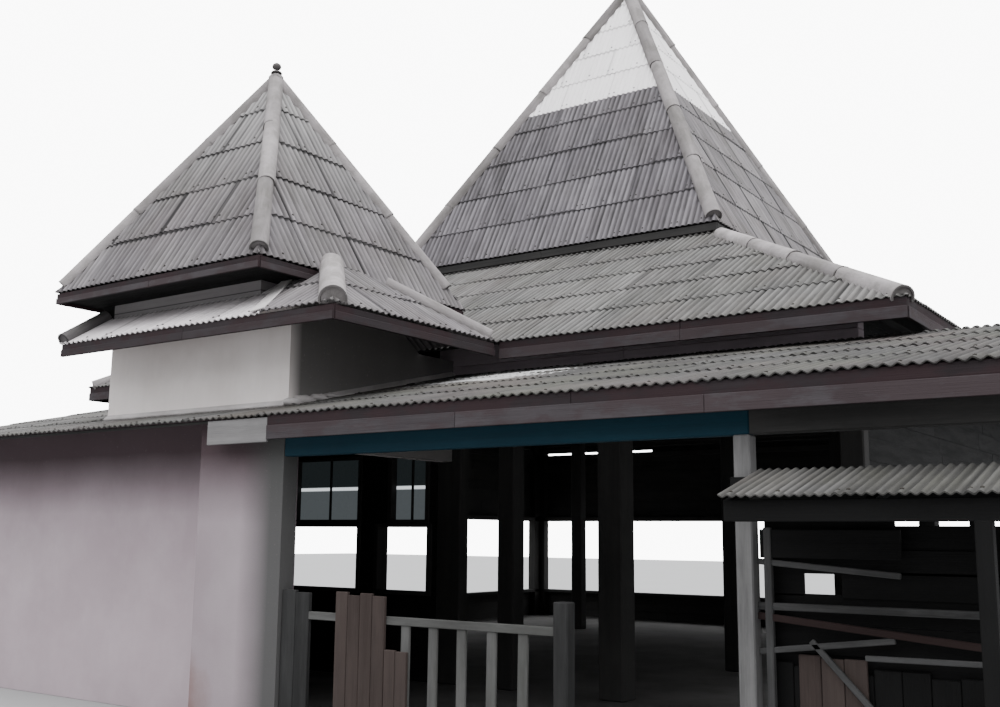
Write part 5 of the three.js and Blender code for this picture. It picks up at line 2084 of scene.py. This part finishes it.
@dataclass(frozen=True)
class FrontWall(Assembly):
    """The hall's front: boarded wall, windows, upper lights and the open frame.

    Openings are (left, right, bottom, top), the header is (left, right, bottom), and a column
    is (left, right, depth).
    """

    windows: tuple[Quad, ...] = (
        (-2.72, -1.59, 1.006, 1.692),
        (-1.305, -0.60, 1.006, 1.692),
    )
    lights: tuple[Quad, ...] = (
        (-2.56, -1.59, 1.748, 2.428),
        (-1.125, -0.64, 1.748, 2.428),
    )
    face: float = -3.1
    back: float = -2.95
    trim: float = 0.045
    overlap: float = 0.012
    header: Triple = (-0.5, 3.94, 2.95)
    header_rows: int = 4
    header_row: float = 0.196
    columns: tuple[Triple, ...] = (
        (-0.5, -0.198, 0.15),
        (0.2735, 0.4685, 0.195),
        (1.4205, 1.6755, 0.255),
        (3.74, 3.94, 0.15),
    )
    side_post: tuple[tuple[Triple, Triple], ...] = (
        ((3.7, -3.2, 3.0), (5.74, -3.1, 3.2)),
        ((5.64, -3.2, FLOOR_TOP), (5.74, -3.1, 3.0)),
    )

    def build(self) -> None:
        """Dresses the wall and panes, and makes the timber round them."""
        self.shop.dress(Finish.WALL, "window_wall")
        # The upper lights' panes glow with painted light and a painted sky reflection.
        self.shop.dress(Finish.GLASS, "upper_light_left", "upper_light_right")
        frames = Lumber(self.shop, "window_frames", Finish.DARK)
        low, high = self.face - 0.014, self.back + 0.008
        side, rise, lap = self.trim, self.trim * 0.6, self.overlap
        for x0, x1, z0, z1 in self.windows + self.lights:
            frames.beam((x0 - side, low, z0), (x0 + lap, high, z1))
            frames.beam((x1 - lap, low, z0), (x1 + side, high, z1))
            frames.beam((x0 - side, low, z0 - rise), (x1 + side, high, z0 + lap))
            frames.beam((x0 - side, low, z1 - lap), (x1 + side, high, z1 + rise))
        for x0, x1, z0, z1 in self.lights:
            middle, y = (x0 + x1) / 2, self.face + 0.055
            frames.beam((middle - 0.014, y, z0), (middle + 0.014, y + 0.04, z1))
        frames.done()
        self._open_frame()

    def _open_frame(self) -> None:
        """Makes the header boards, columns and side post along the open front."""
        # The header boards take a paler copy of the dark wood: painted light against the eave's
        # shadow.
        header = Lumber(self.shop, "hall_header_boards", Finish.HEADER)
        left, right, bottom = self.header
        for row in range(self.header_rows):
            z = bottom + row * self.header_row
            header.run((left, self.face, z), (right, self.back, z + self.header_row - 0.004))
        header.done()
        timber = Lumber(self.shop, "hall_front_timber", Finish.DARK)
        for left, right, depth in self.columns:
            timber.beam((left, self.face, FLOOR_TOP), (right, self.face + depth, bottom), 0.012)
        for low, high in self.side_post:
            timber.beam(low, high, 0.006)
        timber.done("hall_front_frame")


@dataclass(frozen=True)
class SpireFrame(Assembly):
    """The timber ring and columns that carry the tall pyramid."""

    beam: float = 0.15
    bottom: float = 4.95
    split: float = 0.21
    column: float = 0.09
    columns_x: Pair = (-2.84, 1.50)
    columns_y: Pair = (-0.17, 3.62)

    def build(self) -> None:
        """Makes the ring of boards and the four columns."""
        timber = Lumber(self.shop, "spire_frame_timber", Finish.DARK)
        low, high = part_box("spire_frame")
        x0, x1, y0, y1 = low.x, high.x, low.y, high.y
        for a, b in (
            ((x0, y0), (x1, y0 + self.beam)),
            ((x0, y1 - self.beam), (x1, y1)),
            ((x0, y0 + self.beam), (x0 + self.beam, y1 - self.beam)),
            ((x1 - self.beam, y0 + self.beam), (x1, y1 - self.beam)),
        ):
            middle = self.bottom + self.split
            timber.run((*a, self.bottom), (*b, middle))
            timber.run((*a, middle + 0.004), (*b, high.z))
        half = self.column
        for x in self.columns_x:
            for y in self.columns_y:
                low, high = (x - half, y - half, FLOOR_TOP), (x + half, y + half, self.bottom)
                timber.beam(low, high, 0.012)
        timber.done("spire_frame")


@dataclass(frozen=True)
class Masonry(Assembly):
    """The plastered walls, the drum and the floors, which keep the frame's solids."""

    def build(self) -> None:
        """Dresses the solids."""
        # The floors take the very dark concrete: painted shade.
        self.shop.dress(Finish.CONCRETE, "hall_floor", "verandah_floor")
        self.shop.dress(Finish.PINK, "lower_front_wall", "room_end_wall")
        # The pier takes the darker copy of the pink plaster: painted shade.
        self.shop.dress(Finish.PIER, "front_pier")
        # The cream walls are darkened behind their front as painted shade.
        self.shop.dress(Finish.CREAM, "tower_upper_walls")
        # The drum takes a paler copy of the dark wood: painted light.
        self.shop.dress(Finish.DRUM, "tower_drum")


@dataclass(frozen=True)
class Finials(Assembly):
    """The turned knobs on the two pyramids, drawn by shares of their width and height."""

    profile: tuple[Pair, ...] = (
        (0.0, 0.0), (0.5, 0.0), (0.42, 0.12), (0.16, 0.22), (0.15, 0.32),
        (0.33, 0.42), (0.40, 0.60), (0.34, 0.80), (0.15, 0.95), (0.0, 1.0),
    )
    steps: int = 20

    def build(self) -> None:
        """Spins a knob for each finial."""
        for node in ("spire_finial", "tower_finial"):
            low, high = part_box(node)
            width, height = high.x - low.x, high.z - low.z
            bm = with_maps()
            drawn = [(radius * width, 0.0, rise * height) for radius, rise in self.profile]
            points = [bm.verts.new(spot) for spot in drawn]
            edges = [bm.edges.new(pair) for pair in zip(points, points[1:])]
            turn = {"cent": (0, 0, 0), "axis": UP, "angle": math.tau, "steps": self.steps}
            bmesh.ops.spin(bm, geom=points + edges, use_merge=True, **turn)
            bmesh.ops.remove_doubles(bm, verts=bm.verts[:], dist=0.0002)
            bmesh.ops.recalc_face_normals(bm, faces=bm.faces[:])
            middle = Vector(((low.x + high.x) / 2, (low.y + high.y) / 2, low.z))
            bmesh.ops.translate(bm, vec=middle, verts=bm.verts[:])
            self.shop.piece(f"{node}_turned", bm, Finish.CAP, (node,))


@dataclass(frozen=True)
class Studio:
    """Floor, light and the photograph's camera.

    The camera's angles are in degrees: yaw to the left of +Y, pitch upwards and roll. Lens and
    film are in millimetres. The low sky is the light near and below the horizon.
    """

    eye: Triple = (6.74, -12.25, 1.60)
    yaw: float = 35.195
    pitch: float = 9.317
    roll: float = 0.485
    lens: float = 39.97
    sky: float = 3.6
    low_sky: float = 0.6
    backdrop: float = 10.0
    sun: float = 1.6
    sun_angle: float = 50.0
    sun_from: Triple = (0.45, -0.25, 1.0)
    film: float = 36.0

    def build(self) -> None:
        """Makes the floor, the lights and the camera."""
        self._floor()
        self._lights()
        self._camera()

    def _floor(self) -> None:
        """Lays a plain pale floor."""
        bm = bmesh.new()
        bmesh.ops.create_grid(bm, x_segments=1, y_segments=1, size=60.0)
        bmesh.ops.translate(bm, vec=(0.0, 0.0, -0.003), verts=bm.verts[:])
        mesh = bpy.data.meshes.new("studio_floor")
        bm.to_mesh(mesh)
        bm.free()
        material = bpy.data.materials.new("studio_floor")
        material.use_nodes = True
        graph = Graph(material.node_tree)
        shade = graph.mix(graph.noise(graph.place(), 0.4), grey(0.28), grey(0.31))
        shader = material.node_tree.nodes["Principled BSDF"]
        graph.tree.links.new(shade, shader.inputs["Base Color"])
        shader.inputs["Roughness"].default_value = 0.9
        mesh.materials.append(material)
        floor = bpy.data.objects.new("studio_floor", mesh)
        bpy.context.scene.collection.objects.link(floor)

    def _lights(self) -> None:
        """Makes an even sky that is brighter overhead, and a soft sun."""
        world = bpy.data.worlds.new("studio")
        world.use_nodes = True
        graph = Graph(world.node_tree)
        nodes = world.node_tree.nodes
        rise = graph.parts(graph.add("ShaderNodeTexCoord").outputs["Generated"])[2]
        strength = graph.spread(rise, 0.22, 0.62, self.low_sky, self.sky)
        lit = {"Color": rgba(0.97, 0.98, 1.0), "Strength": strength}
        sky = graph.add("ShaderNodeBackground", lit)
        bright = {"Color": rgba(1.0, 1.0, 1.0), "Strength": self.backdrop}
        behind = graph.add("ShaderNodeBackground", bright)
        seen = graph.add("ShaderNodeLightPath").outputs["Is Camera Ray"]
        mixed = graph.add("ShaderNodeMixShader", {0: seen, 1: sky.outputs[0], 2: behind.outputs[0]})
        world.node_tree.links.new(mixed.outputs[0], nodes["World Output"].inputs["Surface"])
        bpy.context.scene.world = world
        sun = bpy.data.lights.new("soft_sun", "SUN")
        sun.energy = self.sun
        sun.angle = math.radians(self.sun_angle)
        lamp = bpy.data.objects.new("soft_sun", sun)
        lamp.rotation_euler = Vector(self.sun_from).to_track_quat("Z", "Y").to_euler()
        bpy.context.scene.collection.objects.link(lamp)

    def _camera(self) -> None:
        """Places the camera."""
        data = bpy.data.cameras.new("photo_camera")
        data.lens = self.lens
        data.sensor_width = self.film
        data.clip_end = 200.0
        yaw, pitch, roll = (math.radians(angle) for angle in (self.yaw, self.pitch, self.roll))
        level = math.cos(pitch)
        ahead = Vector((-math.sin(yaw) * level, math.cos(yaw) * level, math.sin(pitch)))
        right = Vector((math.cos(yaw), math.sin(yaw), 0.0))
        above = right.cross(ahead)
        leaned = right * math.cos(roll) + above * math.sin(roll)
        raised = above * math.cos(roll) - right * math.sin(roll)
        camera = bpy.data.objects.new("photo_camera", data)
        turn = Matrix((leaned, raised, -ahead)).transposed().to_4x4()
        turn.translation = Vector(self.eye)
        camera.matrix_world = turn
        bpy.context.scene.collection.objects.link(camera)
        bpy.context.scene.camera = camera


def main() -> None:
    """Builds the studio and every sub-assembly in order."""
    Studio().build()
    shop = Workshop(seed=7)
    back_bays = ((-5.03, -3.59), (-3.41, -1.29), (-1.11, 1.01), (1.19, 3.31))
    back_shut = ((-2.72, -1.29), *back_bays[2:])
    side_bays = ((-2.80, -0.99), (-0.81, 1.11), (1.29, 3.21), (3.39, 5.80))
    assemblies = (
        HallRoof(shop),
        SpireRoof(shop),
        TowerRoof(shop),
        LowRoofs(shop),
        Fascias(shop),
        Verandah(shop),
        Stall(shop),
        BoardWall(shop, "hall_back_wall", Side.BACK, back_bays, shut=back_shut),
        BoardWall(shop, "hall_left_wall", Side.LEFT, side_bays, shut=(side_bays[1], side_bays[3])),
        # The right wall takes the near-black wood: painted shade.
        BoardWall(shop, "hall_right_wall", Side.RIGHT, side_bays, finish=Finish.SHADED_WOOD),
        FrontWall(shop),
        SpireFrame(shop),
        Masonry(shop),
        Finials(shop),
    )
    for assembly in assemblies:
        log.info("building %s", type(assembly).__name__)
        assembly.build()


if __name__ == "__main__":
    main()
